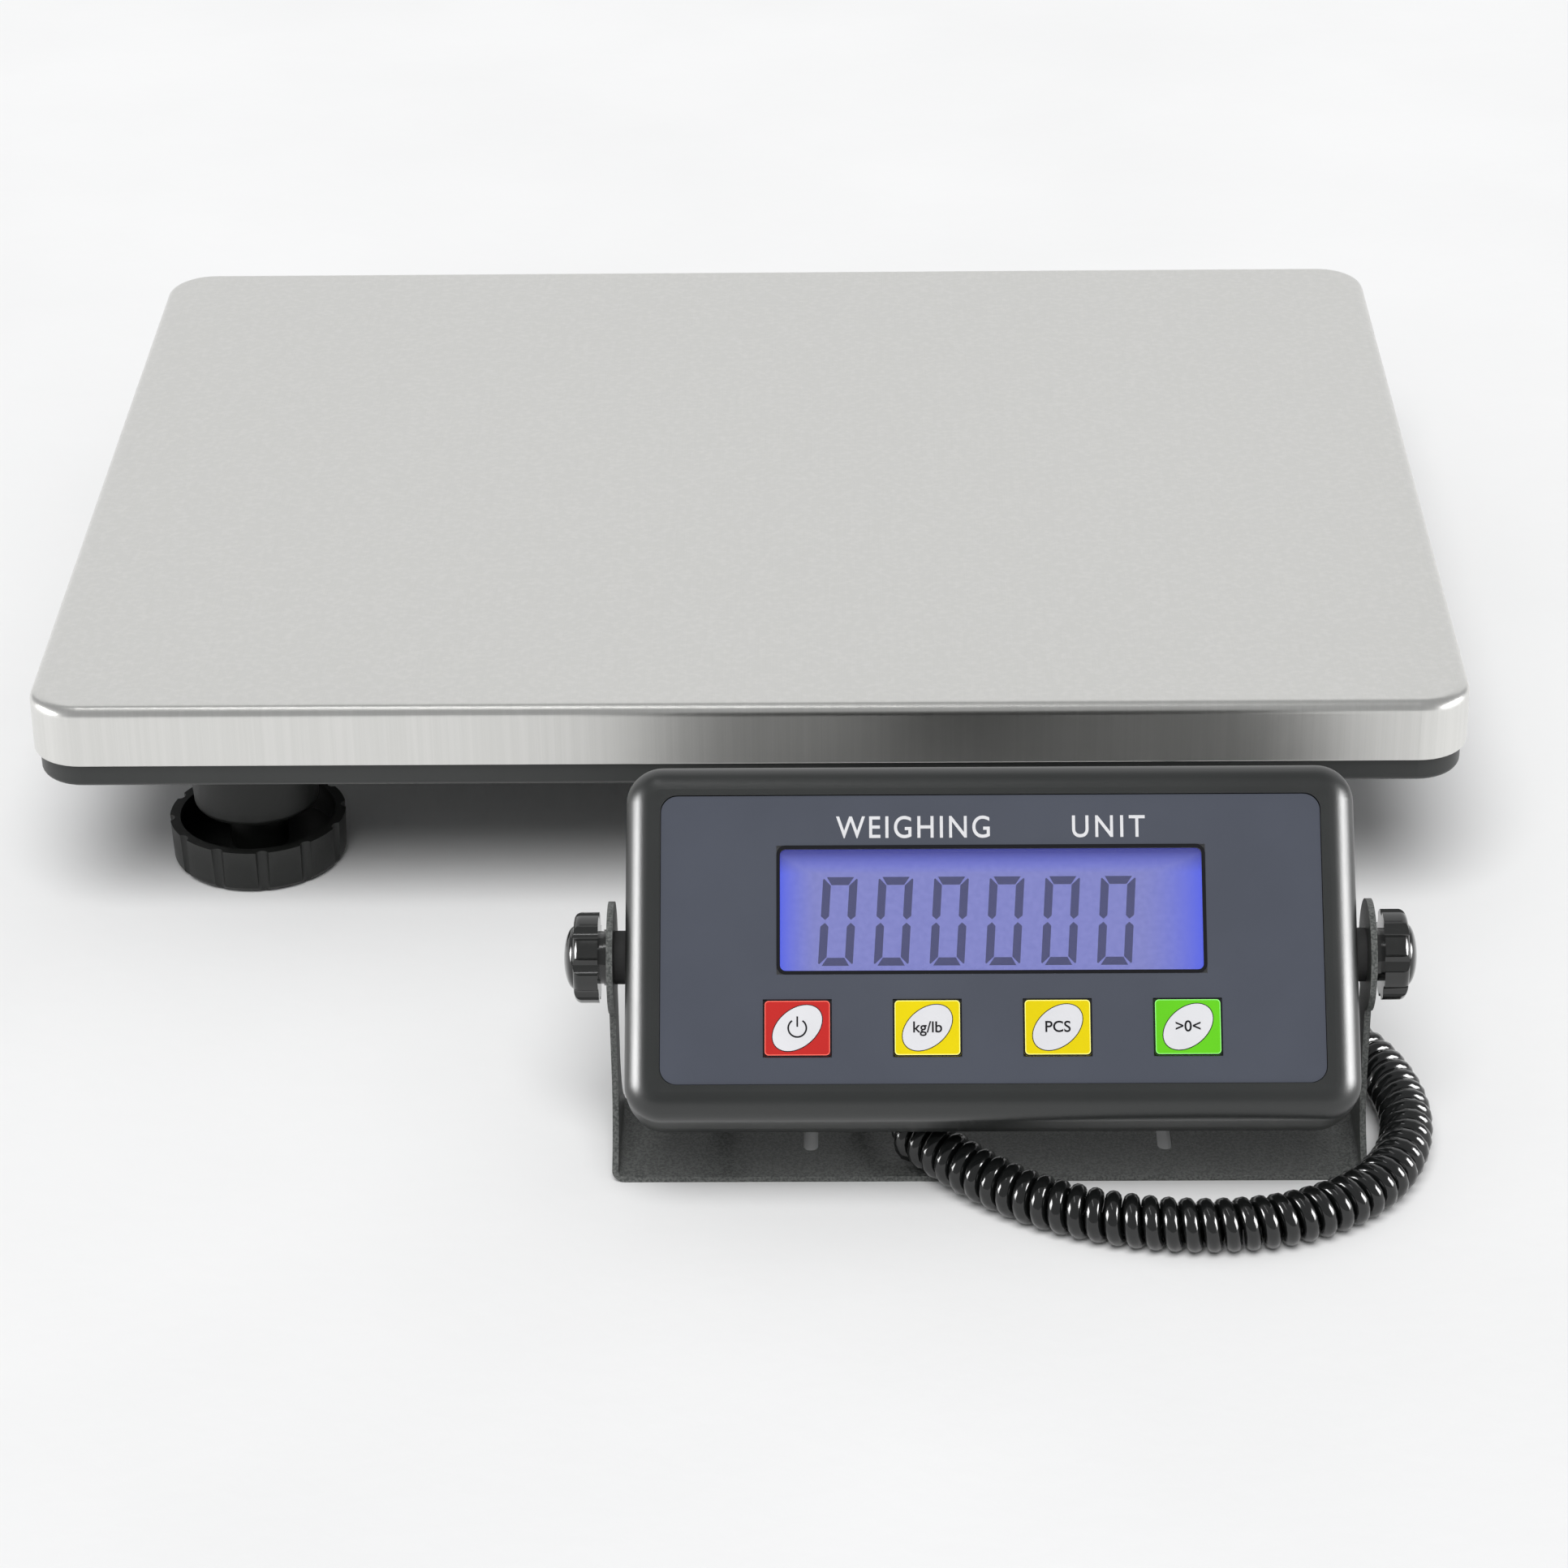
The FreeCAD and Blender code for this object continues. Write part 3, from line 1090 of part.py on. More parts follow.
def make_bracket():
    """U bracket bent from one sheet: slotted base, two bends and two arms."""
    width, depth = size("bracket_width"), size("bracket_depth")
    thick, bend = size("bracket_sheet"), size("bracket_bend")
    pieces = [Part.makeBox(width - 2 * bend, depth, thick, FreeCAD.Vector(bend - width / 2, -depth / 2, 0))]
    for side in (-1, 1):
        ring = Part.makeCylinder(bend, depth, FreeCAD.Vector(side * (width / 2 - bend), -depth / 2, bend),
                                 FreeCAD.Vector(0, 1, 0))
        ring = ring.cut(Part.makeCylinder(bend - thick, depth,
                                          FreeCAD.Vector(side * (width / 2 - bend), -depth / 2, bend),
                                          FreeCAD.Vector(0, 1, 0)))
        left = width / 2 - bend if side > 0 else -width / 2
        pieces.append(ring.common(Part.makeBox(bend, depth, bend, FreeCAD.Vector(left, -depth / 2, 0))))
        face = Part.Face(arm_outline())
        face.translate(FreeCAD.Vector(width / 2 - thick if side > 0 else -width / 2, 0, 0))
        pieces.append(face.extrude(FreeCAD.Vector(thick, 0, 0)))
    shape = pieces[0].fuse(pieces[1:]).removeSplitter()
    hole = Part.makeCylinder(size("arm_hole_radius"), width + 2,
                             FreeCAD.Vector(-width / 2 - 1, 0, size("pivot_height")),
                             FreeCAD.Vector(1, 0, 0))
    slot_radius = size("slot_width") / 2
    tools = [hole]
    for side in (-1, 1):
        x, front = side * size("slot_spacing") / 2, -size("slot_front")
        rear = front + size("slot_length") - 2 * slot_radius
        for y in (front + slot_radius, rear + slot_radius):
            tools.append(Part.makeCylinder(slot_radius, thick + 2, FreeCAD.Vector(x, y, -1)))
        tools.append(Part.makeBox(2 * slot_radius, rear - front, thick + 2,
                                  FreeCAD.Vector(x - slot_radius, front + slot_radius, -1)))
    item = doc.addObject("Part::Feature", "bracket")
    item.Shape = shape.cut(tools)
    item.Placement = FreeCAD.Placement(FreeCAD.Vector(size("indicator_x"), size("pivot_y"), 0),
                                       FreeCAD.Rotation())
    sub_part(item, "bracket")


# ---------------------------------------------------------------- curly cord

# The plain lead from the case: back and down out of the gland, round on the bracket's base and forward.
LEAD_ROUTE = [
    (-4.95, -179.764, 14.70),
    (-4.95, -171.924, 7.715),
    (-5.3, -160.0, 4.3),
    (2.9, -150.8, 4.0),
    (15.2, -149.4, 4.0),
    (25.5, -156.6, 4.6),
    (28.6, -168.6, 6.8),
    (29.96, -180.23, 10.73),
    (38.5, -188.6, 9.70),
]
# The curly stretch, along its middle: forward from under the case, round its right side and back.
COIL_ROUTE = [
    (38.5, -188.6, 9.70),
    (63.0, -212.6, 6.75),
    (86.0, -224.6, 6.66),
    (111.5, -228.8, 6.66),
    (136.0, -224.8, 6.66),
    (156.3, -209.8, 6.66),
    (165.1, -185.2, 6.66),
    (160.8, -158.4, 6.66),
    (146.3, -137.0, 6.66),
    (127.5, -122.3, 6.66),
]
# The plain tail up to the platform's gland.
TAIL_ROUTE = [
    (127.5, -122.3, 6.66),
    (119.46, -116.01, 6.66),
    (113.8, -106.52, 9.5),
    (111.9, -99.22, 19.6),
    (111.7, -92.02, 30.2),
    (112.0, -82.37, 39.5),
    (112.0, -70.37, 39.5),
]


def make_cord():
    """Plain lead, curly stretch in two lengths and plain tail, as closed outer solids."""
    coil = [FreeCAD.Vector(*point) for point in COIL_ROUTE]
    radius = size("coil_radius")
    split = coil[0] + (coil[1] - coil[0]) * 0.5
    pieces = [
        ("cord_lead", [FreeCAD.Vector(*point) for point in LEAD_ROUTE], size("cord_radius")),
        ("cord_coil_start", [coil[0], split], radius),
        ("cord_coil", [split] + coil[1:], radius),
        ("cord_tail", [FreeCAD.Vector(*point) for point in TAIL_ROUTE], size("cord_radius")),
    ]
    for label, points, section in pieces:
        item = doc.addObject("Part::Feature", label)
        item.Shape = tube(label, points, section, largest_bends(label, points, 2 * section))
        sub_part(item, label)


# ---------------------------------------------------------------- build and export

make_platter()
make_base_tray()
make_base_beams()
make_cushions()
for corner_name, x_side, y_side in corner_names():
    make_load_cell(corner_name, x_side, y_side)
make_load_cell_screws()
for corner_name, x_side, y_side in corner_names():
    make_foot(corner_name, x_side, y_side)
make_junction_board()
make_platform_wiring()
make_platform_gland()
make_front_shell()
make_rear_shell()
make_overlay()
make_display()
for key_name, key_place in key_names():
    make_key(key_name, key_place)
make_boards()
make_battery_bay_parts()
make_power_jack()
make_case_screws()
make_case_gland()
make_pivot_parts()
for knob_name, knob_side in (("left", -1), ("right", 1)):
    make_clamp_knob(knob_name, knob_side)
make_bracket()
make_cord()

doc.recompute()
for item in doc.Objects:
    if "Invalid" in item.State or "Error" in item.State:
        raise RuntimeError(f"{item.Name} failed: {item.State}")
os.makedirs("parts", exist_ok=True)
for item in parts:
    if item.Shape.isNull() or not item.Shape.isValid():
        raise RuntimeError(f"{item.Label} has no valid shape")
for item in parts:
    item.Shape.exportStep(os.path.join("parts", f"{item.Label}.step"))
print(f"{len(parts)} sub-parts")
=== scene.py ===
import json
import math

import bpy
from mathutils import Matrix, Vector


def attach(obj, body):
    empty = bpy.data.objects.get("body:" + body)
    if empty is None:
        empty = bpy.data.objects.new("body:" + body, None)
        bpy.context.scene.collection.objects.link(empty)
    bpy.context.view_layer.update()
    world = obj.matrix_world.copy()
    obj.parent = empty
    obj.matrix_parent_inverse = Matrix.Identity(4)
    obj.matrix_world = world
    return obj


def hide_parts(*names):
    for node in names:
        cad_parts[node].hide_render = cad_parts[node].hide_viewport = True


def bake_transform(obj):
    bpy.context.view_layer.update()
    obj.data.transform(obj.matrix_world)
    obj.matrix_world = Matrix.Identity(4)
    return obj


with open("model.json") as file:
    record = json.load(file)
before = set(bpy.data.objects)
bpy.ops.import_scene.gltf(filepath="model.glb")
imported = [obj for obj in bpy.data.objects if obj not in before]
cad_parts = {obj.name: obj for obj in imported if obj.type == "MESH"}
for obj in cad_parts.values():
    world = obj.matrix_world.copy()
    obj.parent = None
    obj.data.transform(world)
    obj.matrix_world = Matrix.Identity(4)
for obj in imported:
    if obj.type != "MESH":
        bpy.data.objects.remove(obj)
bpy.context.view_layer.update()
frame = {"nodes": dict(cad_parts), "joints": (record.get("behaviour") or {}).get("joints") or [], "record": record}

NODES = frame["nodes"]
JOINTS = {joint["name"]: joint for joint in frame["joints"]}
MM = 0.001

# The case's own axes: X right, Y from the face inwards, Z up the face, from the tilt axis.
PIVOT = Vector(JOINTS["case_tilt"]["pos_m"])
INWARD = Vector(JOINTS["key_power_press"]["axis"]).normalized()
LEAN = math.atan2(-INWARD.z, INWARD.y)
CASE = Matrix.Translation(PIVOT) @ Matrix.Rotation(-LEAN, 4, "X")


def case_box(node):
    """Lowest and highest corner of a CAD node along the case's own axes, in metres."""
    to_case = CASE.inverted()
    points = [to_case @ vertex.co for vertex in NODES[node].data.vertices]
    low = Vector([min(point[axis] for point in points) for axis in range(3)])
    high = Vector([max(point[axis] for point in points) for axis in range(3)])
    return low, high


# ---------------------------------------------------------------- shader helpers


class Shader:
    """Builds one node material; most methods add a node and return its output socket."""

    def __init__(self, name):
        self.material = bpy.data.materials.new(name)
        self.material.use_nodes = True
        self.nodes = self.material.node_tree.nodes
        self.links = self.material.node_tree.links
        self.principled = self.nodes["Principled BSDF"]
        self.position = self.node("ShaderNodeTexCoord").outputs["Object"]

    def node(self, kind, **settings):
        node = self.nodes.new(kind)
        for key, value in settings.items():
            setattr(node, key, value)
        return node

    def plug(self, value, socket):
        if isinstance(value, bpy.types.NodeSocket):
            self.links.new(value, socket)
        elif isinstance(value, (tuple, list)) and len(value) == 3 and len(socket.default_value) == 4:
            socket.default_value = (*value, 1)
        else:
            socket.default_value = value

    def set(self, **values):
        """Sets the Principled shader's inputs; underscores stand for spaces."""
        for key, value in values.items():
            self.plug(value, self.principled.inputs[key.replace("_", " ")])

    def scaled(self, factors):
        mapping = self.node("ShaderNodeMapping")
        self.plug(self.position, mapping.inputs["Vector"])
        self.plug(factors, mapping.inputs["Scale"])
        return mapping.outputs["Vector"]

    def noise(self, scale, detail=3.0, stretch=(1, 1, 1), rough=0.5):
        noise = self.node("ShaderNodeTexNoise")
        self.plug(self.scaled(stretch), noise.inputs["Vector"])
        self.plug(scale, noise.inputs["Scale"])
        self.plug(detail, noise.inputs["Detail"])
        self.plug(rough, noise.inputs["Roughness"])
        return noise.outputs["Fac"]

    def span(self, value, low, high, start=0.35, end=0.65):
        """Maps value from start..end to low..high, clamped."""
        node = self.node("ShaderNodeMapRange")
        settings = {"Value": value, "From Min": start, "From Max": end, "To Min": low, "To Max": high}
        for key, number in settings.items():
            self.plug(number, node.inputs[key])
        return node.outputs["Result"]

    def math(self, operation, first, second=0.0):
        node = self.node("ShaderNodeMath", operation=operation)
        self.plug(first, node.inputs[0])
        self.plug(second, node.inputs[1])
        return node.outputs["Value"]

    def blend(self, factor, first, second):
        node = self.node("ShaderNodeMix", data_type="RGBA")
        self.plug(factor, node.inputs["Factor"])
        self.plug(first, node.inputs["A"])
        self.plug(second, node.inputs["B"])
        return node.outputs["Result"]

    def bump(self, height, depth, strength):
        node = self.node("ShaderNodeBump")
        self.plug(strength, node.inputs["Strength"])
        self.plug(depth, node.inputs["Distance"])
        self.plug(height, node.inputs["Height"])
        return node.outputs["Normal"]

    def axis(self, vector, index):
        """One of a vector's three numbers."""
        split = self.node("ShaderNodeSeparateXYZ")
        self.plug(vector, split.inputs[0])
        return split.outputs[index]

    def edges(self):
        """0 on flats, towards 1 on outer edges."""
        return self.span(self.node("ShaderNodeNewGeometry").outputs["Pointiness"], 0.0, 1.0, 0.52, 0.6)


def moulded(name, colour, rough, grain=2600, depth=0.00004, coat=0.0, light=0.02, shine=0.35):
    """Moulded plastic or rubber: fine texture, faint handling marks, edges worn a little lighter."""
    shader = Shader(name)
    fine = shader.noise(grain, 4.0)
    marks = shader.noise(28, 5.0, rough=0.6)
    worn = tuple(min(1.0, channel + light) for channel in colour)
    lightest = tuple(min(1.0, channel + 2 * light) for channel in colour)
    base = shader.blend(shader.span(marks, 0.0, 0.3), colour, worn)
    base = shader.blend(shader.math("MULTIPLY", shader.edges(), 0.35), base, lightest)
    shader.set(Base_Color=base, Roughness=shader.span(marks, rough - 0.015, rough + 0.025),
               Normal=shader.bump(fine, depth, 0.5), Coat_Weight=coat, Coat_Roughness=0.06,
               Specular_IOR_Level=shine)
    return shader.material


def plain_metal(name, colour, rough):
    """Plated or turned metal with fine tool marks."""
    shader = Shader(name)
    marks = shader.noise(900, 3.0, stretch=(1, 1, 0.15))
    cloud = shader.noise(60, 3.0)
    darker = tuple(channel * 0.8 for channel in colour)
    shader.set(Base_Color=shader.blend(shader.span(cloud, 0.0, 1.0), darker, colour), Metallic=1.0,
               Roughness=shader.span(marks, rough - 0.06, rough + 0.08),
               Normal=shader.bump(marks, 0.00003, 0.4))
    return shader.material


def satin_platter():
    """Satin stainless steel, very finely brushed from front to back and down over the skirt."""
    shader = Shader("stainless_satin")
    across = shader.noise(1.0, 4.0, stretch=(3200, 30, 30), rough=0.7)
    side = shader.noise(1.0, 4.0, stretch=(30, 30, 3200), rough=0.7)
    normal = shader.node("ShaderNodeNewGeometry").outputs["Normal"]
    facing = shader.math("ABSOLUTE", shader.axis(normal, 0))
    mix = shader.node("ShaderNodeMix", data_type="FLOAT")
    shader.plug(shader.span(facing, 0.0, 1.0, 0.6, 0.8), mix.inputs["Factor"])
    shader.plug(across, mix.inputs["A"])
    shader.plug(side, mix.inputs["B"])
    grain = mix.outputs["Result"]
    cloud = shader.noise(4, 4.0)
    streak = shader.noise(1.0, 3.0, stretch=(520, 520, 4), rough=0.6)
    base = shader.blend(shader.span(grain, 0.0, 1.0, 0.3, 0.7),
                        (0.700, 0.696, 0.672), (0.730, 0.727, 0.705))
    base = shader.blend(shader.span(streak, 0.0, 0.5, 0.45, 0.7), base, (0.80, 0.79, 0.77))
    rough = shader.math("ADD", shader.span(grain, 0.29, 0.33, 0.3, 0.7),
                        shader.span(cloud, -0.01, 0.015))
    shader.set(Base_Color=base, Metallic=1.0, Roughness=rough,
               Normal=shader.bump(grain, 0.000012, 0.4))
    return shader.material


def powder_coat():
    """Textured black powder coat."""
    shader = Shader("powder_coat")
    orange = shader.noise(1700, 3.0)
    coarse = shader.noise(900, 2.0)
    height = shader.math("ADD", orange, coarse)
    base = shader.blend(shader.span(orange, 0.0, 1.0, 0.4, 0.6),
                        (0.050, 0.054, 0.051), (0.125, 0.130, 0.125))
    shader.set(Base_Color=base, Roughness=shader.span(orange, 0.36, 0.5),
               Normal=shader.bump(height, 0.00016, 0.8))
    return shader.material


def printed(name, colour, rough=0.42):
    """Ink on textured polyester film."""
    shader = Shader(name)
    fine = shader.noise(3600, 2.0)
    marks = shader.noise(40, 4.0)
    darker = tuple(channel * 0.93 for channel in colour)
    shader.set(Base_Color=shader.blend(shader.span(marks, 0.0, 1.0), darker, colour),
               Roughness=shader.span(fine, rough - 0.06, rough + 0.06),
               Normal=shader.bump(fine, 0.00003, 0.35), Specular_IOR_Level=0.2)
    return shader.material


def clear_window():
    """Clear acrylic: passes light straight and keeps a thin gloss, with a few fine scuffs."""
    shader = Shader("clear_window")
    scuffs = shader.noise(160, 5.0, stretch=(1, 1, 0.2))
    shader.set(Base_Color=(0.95, 0.95, 0.98), Roughness=shader.span(scuffs, 0.05, 0.1),
               Alpha=0.03, IOR=1.45)
    return shader.material


def display_light(low, high):
    """Edge-lit display: saturated blue near its ends and top, lavender over the rest."""
    shader = Shader("display_light")
    across = shader.span(shader.axis(shader.position, 0), -1.0, 1.0, low.x, high.x)
    height = shader.span(shader.axis(shader.position, 2), 0.0, 1.0, low.z, high.z)
    right = shader.math("POWER", shader.span(across, 0.0, 1.0, 0.70, 1.0), 1.6)
    left = shader.math("POWER", shader.span(across, 1.0, 0.0, -1.0, -0.82), 1.5)
    top = shader.span(height, 0.0, 1.0, 0.80, 0.97)
    glow = shader.math("MAXIMUM", shader.math("MAXIMUM", left, right), top)
    film = shader.noise(700, 2.0)
    middle = shader.blend(shader.span(film, 0.0, 1.0), (0.150, 0.165, 0.49), (0.175, 0.190, 0.53))
    dim = shader.blend(top, (0.040, 0.075, 0.74), (0.002, 0.008, 0.24))
    shader.set(Base_Color=(0.01, 0.01, 0.02), Roughness=0.5, Specular_IOR_Level=0.1,
               Emission_Color=shader.blend(glow, middle, dim), Emission_Strength=1.0)
    return shader.material


def floor_paint():
    """Matt pale floor, a little cloudy."""
    shader = Shader("floor_paint")
    cloud = shader.noise(6, 4.0)
    fine = shader.noise(160, 4.0)
    base = shader.blend(shader.span(cloud, 0.0, 1.0), (0.86, 0.86, 0.86), (0.89, 0.89, 0.89))
    shader.set(Base_Color=base, Roughness=0.8, Specular_IOR_Level=0.0,
               Normal=shader.bump(fine, 0.0004, 0.25))
    return shader.material


BLACK_INK = printed("ink_black", (0.008, 0.008, 0.01), 0.4)
WHITE_INK = printed("ink_white", (0.66, 0.66, 0.68), 0.45)
SLOTS = {
    "stainless": satin_platter(),
    "tray_black": moulded("tray_paint", (0.019, 0.021, 0.020), 0.40, 1800, 0.00003, shine=0.5),
    "rubber_black": moulded("rubber", (0.022, 0.022, 0.022), 0.62, 1500, 0.00006),
    "cell_steel": plain_metal("nickel_steel", (0.62, 0.61, 0.59), 0.32),
    "zinc_steel": plain_metal("zinc_plate", (0.66, 0.66, 0.63), 0.28),
    "foot_plastic": moulded("foot_moulding", (0.006, 0.007, 0.006), 0.38, 1700, 0.00007,
                            light=0.012, shine=0.4),
    "board_green": moulded("solder_mask", (0.02, 0.14, 0.06), 0.3, 900, 0.00003),
    "wire_sleeve": moulded("wire_sleeve", (0.03, 0.03, 0.03), 0.5),
    "case_black": moulded("case_moulding", (0.008, 0.0095, 0.009), 0.35, 3000, 0.00004,
                          light=0.004, shine=0.75),
    "overlay_print": printed("overlay_print", (0.068, 0.075, 0.096), 0.46),
    "window_clear": clear_window(),
    "display_blue": moulded("display_glass", (0.10, 0.10, 0.38), 0.2, 900, 0.00001),
    "backlight_white": moulded("diffuser", (0.8, 0.82, 0.9), 0.5, 900, 0.00003),
    "key_red": printed("key_red", (0.49, 0.022, 0.019)),
    "key_yellow": printed("key_yellow", (0.71, 0.57, 0.001)),
    "key_green": printed("key_green", (0.12, 0.55, 0.013)),
    "chip_black": moulded("chip_moulding", (0.02, 0.02, 0.02), 0.45),
    "battery_sleeve": plain_metal("battery_sleeve", (0.28, 0.3, 0.34), 0.35),
    "brass": plain_metal("turned_brass", (0.78, 0.6, 0.28), 0.28),
    "bracket_black": powder_coat(),
    "knob_black": moulded("knob_moulding", (0.009, 0.0095, 0.009), 0.14, 700, 0.00002,
                          coat=0.4, light=0.004, shine=0.5),
    "cord_black": moulded("cord_sleeve", (0.004, 0.0045, 0.0045), 0.14, 900, 0.00001,
                          coat=0.3, light=0.003, shine=0.5),
}
NODE_SLOT = {part["node"]: part["material_slot"] for part in frame["record"]["subparts"]}
for node, slot in NODE_SLOT.items():
    for material_slot in NODES[node].material_slots:
        material_slot.material = SLOTS[slot]


# ---------------------------------------------------------------- mesh helpers

INK = 0.04 * MM  # thickness of a printed layer
CAP_SHARE = 0.72  # height of a capital letter as a share of the type size


def finish_piece(piece, body, material):
    """Gives a piece its material and body and puts it in the scene."""
    piece.data.materials.append(material)
    bpy.context.scene.collection.objects.link(piece)
    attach(piece, body)


def flat_piece(name, outlines, front, thickness, body, material, hole=None):
    """Thin pieces with the given outlines, lists of (x, z), from front inwards along the case's Y.

    With a hole, an outline of as many points, the piece is a ring."""
    vertices, faces = [], []
    for outline in outlines:
        start, count = len(vertices), len(outline)
        vertices += [(x, front, z) for x, z in outline]
        vertices += [(x, front + thickness, z) for x, z in outline]
        if hole is None:
            faces.append(tuple(range(start, start + count)))
            faces.append(tuple(range(start + 2 * count - 1, start + count - 1, -1)))
            for i in range(count):
                j = (i + 1) % count
                faces.append((start + count + i, start + count + j, start + j, start + i))
        else:
            inner = len(vertices)
            vertices += [(x, front, z) for x, z in hole]
            vertices += [(x, front + thickness, z) for x, z in hole]
            for i in range(count):
                j = (i + 1) % count
                faces.append((start + i, start + j, inner + j, inner + i))
                faces.append((start + count + j, start + count + i,
                              inner + count + i, inner + count + j))
                faces.append((start + j, start + i, start + count + i, start + count + j))
                faces.append((inner + i, inner + j, inner + count + j, inner + count + i))
    mesh = bpy.data.meshes.new(name)
    mesh.from_pydata(vertices, [], faces)
    mesh.validate()
    piece = bpy.data.objects.new(name, mesh)
    piece.matrix_world = CASE
    finish_piece(piece, body, material)


def rounded_outline(low_x, low_z, high_x, high_z, radius, steps=6):
    """Counter-clockwise rounded rectangle."""
    points = []
    corners = [(high_x, low_z, -90), (high_x, high_z, 0), (low_x, high_z, 90), (low_x, low_z, 180)]
    for x, z, start in corners:
        centre_x = x - radius if x == high_x else x + radius
        centre_z = z - radius if z == high_z else z + radius
        for step in range(steps + 1):
            angle = math.radians(start + 90 * step / steps)
            points.append((centre_x + radius * math.cos(angle), centre_z + radius * math.sin(angle)))
    return points


def ellipse_outline(x, z, long, short, tilt, count=48):
    """Counter-clockwise ellipse with the given half axes."""
    points = []
    for step in range(count):
        angle = 2 * math.pi * step / count
        along, across = long * math.cos(angle), short * math.sin(angle)
        points.append((x + along * math.cos(tilt) - across * math.sin(tilt),
                       z + along * math.sin(tilt) + across * math.cos(tilt)))
    return points


def arc_points(x, z, radius, gap, steps=40):
    """Points clockwise round a centre, leaving out the gap on both sides of the top."""
    points = []
    for step in range(steps + 1):
        angle = gap + (2 * math.pi - 2 * gap) * step / steps
        points.append((x + radius * math.sin(angle), z + radius * math.cos(angle)))
    return points


def lettering(name, text, x, z, height, front, body, material,
              spacing=1.0, stretch=1.0, weight=0.0):
    """Printed characters, centred on (x, z), standing proud of front; weight thickens the strokes."""
    curve = bpy.data.curves.new(name, "FONT")
    curve.body = text
    curve.size = height / CAP_SHARE
    curve.space_character = spacing
    curve.align_x, curve.align_y = "CENTER", "CENTER"
    curve.extrude = INK / 2
    curve.offset = weight
    piece = bpy.data.objects.new(name, curve)
    upright = Matrix.Rotation(math.pi / 2, 4, "X") @ Matrix.Diagonal((stretch, 1, 1, 1))
    piece.matrix_world = CASE @ Matrix.Translation((x, front, z)) @ upright
    finish_piece(piece, body, material)


# ---------------------------------------------------------------- curly cord

# The same route as the CAD solids, in millimetres: plain lead, curly stretch, plain tail.
LEAD = [
    (-4.95, -179.764, 14.70), (-4.95, -171.924, 7.715), (-5.3, -160.0, 4.3), (2.9, -150.8, 4.0),
    (15.2, -149.4, 4.0), (25.5, -156.6, 4.6), (28.6, -168.6, 6.8), (29.96, -180.23, 10.73),
]
COIL = [
    (38.5, -188.6, 9.70), (63.0, -212.6, 6.75), (86.0, -224.6, 6.66), (111.5, -228.8, 6.66),
    (136.0, -224.8, 6.66), (156.3, -209.8, 6.66), (165.1, -185.2, 6.66), (160.8, -158.4, 6.66),
    (146.3, -137.0, 6.66), (127.5, -122.3, 6.66),
]
TAIL = [
    (119.46, -116.01, 6.66), (113.8, -106.52, 9.5), (111.9, -99.22, 19.6), (111.7, -92.02, 30.2),
    (112.0, -82.37, 39.5), (112.0, -70.37, 39.5),
]
WIRE = 2.1 * MM  # radius of the cable
COIL_RADIUS = 6.65 * MM  # outside
TURN = 4.5 * MM  # pitch
TURN_POINTS = 16
TUBE_SIDES = 12


def smooth_line(points):
    """Closely spaced points on the smooth curve whose control points are given."""
    curve = bpy.data.curves.new("route", "CURVE")
    curve.dimensions = "3D"
    curve.resolution_u = 24
    spline = curve.splines.new("NURBS")
    spline.points.add(len(points) - 1)
    for point, place in zip(spline.points, points):
        point.co = (*place, 1)
    spline.order_u = 3
    spline.use_endpoint_u = True
    holder = bpy.data.objects.new("route", curve)
    bpy.context.scene.collection.objects.link(holder)
    bpy.context.view_layer.update()
    mesh = bpy.data.meshes.new_from_object(holder)
    line = [vertex.co.copy() for vertex in mesh.vertices]
    bpy.data.objects.remove(holder)
    return line


def evenly(line, step):
    """The line again with points a step apart."""
    spaced, left = [line[0]], step
    for start, end in zip(line, line[1:]):
        run = (end - start).length
        at = left
        while at <= run:
            spaced.append(start.lerp(end, at / run))
            at += step
        left = at - run
    spaced[-1] = line[-1]
    return spaced


def frames_along(line):
    """A pair of side directions at each point that turn as little as possible."""
    sides = []
    side = Vector((0, 0, 1))
    for before, after in zip([line[0]] + line[:-1], line[1:] + [line[-1]]):
        ahead = (after - before).normalized()
        side = (side - ahead * side.dot(ahead)).normalized()
        sides.append((side, ahead.cross(side)))
    return sides


def nearest(line, place):
    """Index of the line's point nearest to a place."""
    return min(range(len(line)), key=lambda index: (line[index] - place).length)


def curly_path():
    """Centre line of the cable: along the lead, round the coil in a helix, along the tail."""
    route = [Vector(point) * MM for point in LEAD + COIL + TAIL]
    line = evenly(smooth_line(route), TURN / TURN_POINTS)
    first, last = nearest(line, Vector(COIL[0]) * MM), nearest(line, Vector(COIL[-1]) * MM)
    reach = COIL_RADIUS - WIRE
    path = []
    for index, (point, (side, other)) in enumerate(zip(line, frames_along(line))):
        grown = min(1.0, max(0.0, (index - first) / TURN_POINTS), max(0.0, (last - index) / TURN_POINTS))
        if grown == 0.0:
            path.append(point)
            continue
        grown = grown * grown * (3 - 2 * grown)
        angle = 2 * math.pi * (index - first) / TURN_POINTS
        path.append(point + (side * math.cos(angle) + other * math.sin(angle)) * reach * grown)
    return path


def tube_piece(name, path, radius, sides):
    """A round tube with closed ends along a path."""
    vertices, faces = [], []
    for point, (side, other) in zip(path, frames_along(path)):
        for step in range(sides):
            angle = 2 * math.pi * step / sides
            vertices.append(point + (side * math.cos(angle) + other * math.sin(angle)) * radius)
    for ring in range(len(path) - 1):
        for step in range(sides):
            following = (step + 1) % sides
            a, b = ring * sides + step, ring * sides + following
            faces.append((a, b, b + sides, a + sides))
    faces.append(tuple(range(sides - 1, -1, -1)))
    faces.append(tuple(range(len(vertices) - sides, len(vertices))))
    mesh = bpy.data.meshes.new(name)
    mesh.from_pydata(vertices, [], faces)
    mesh.shade_smooth()
    return bpy.data.objects.new(name, mesh)


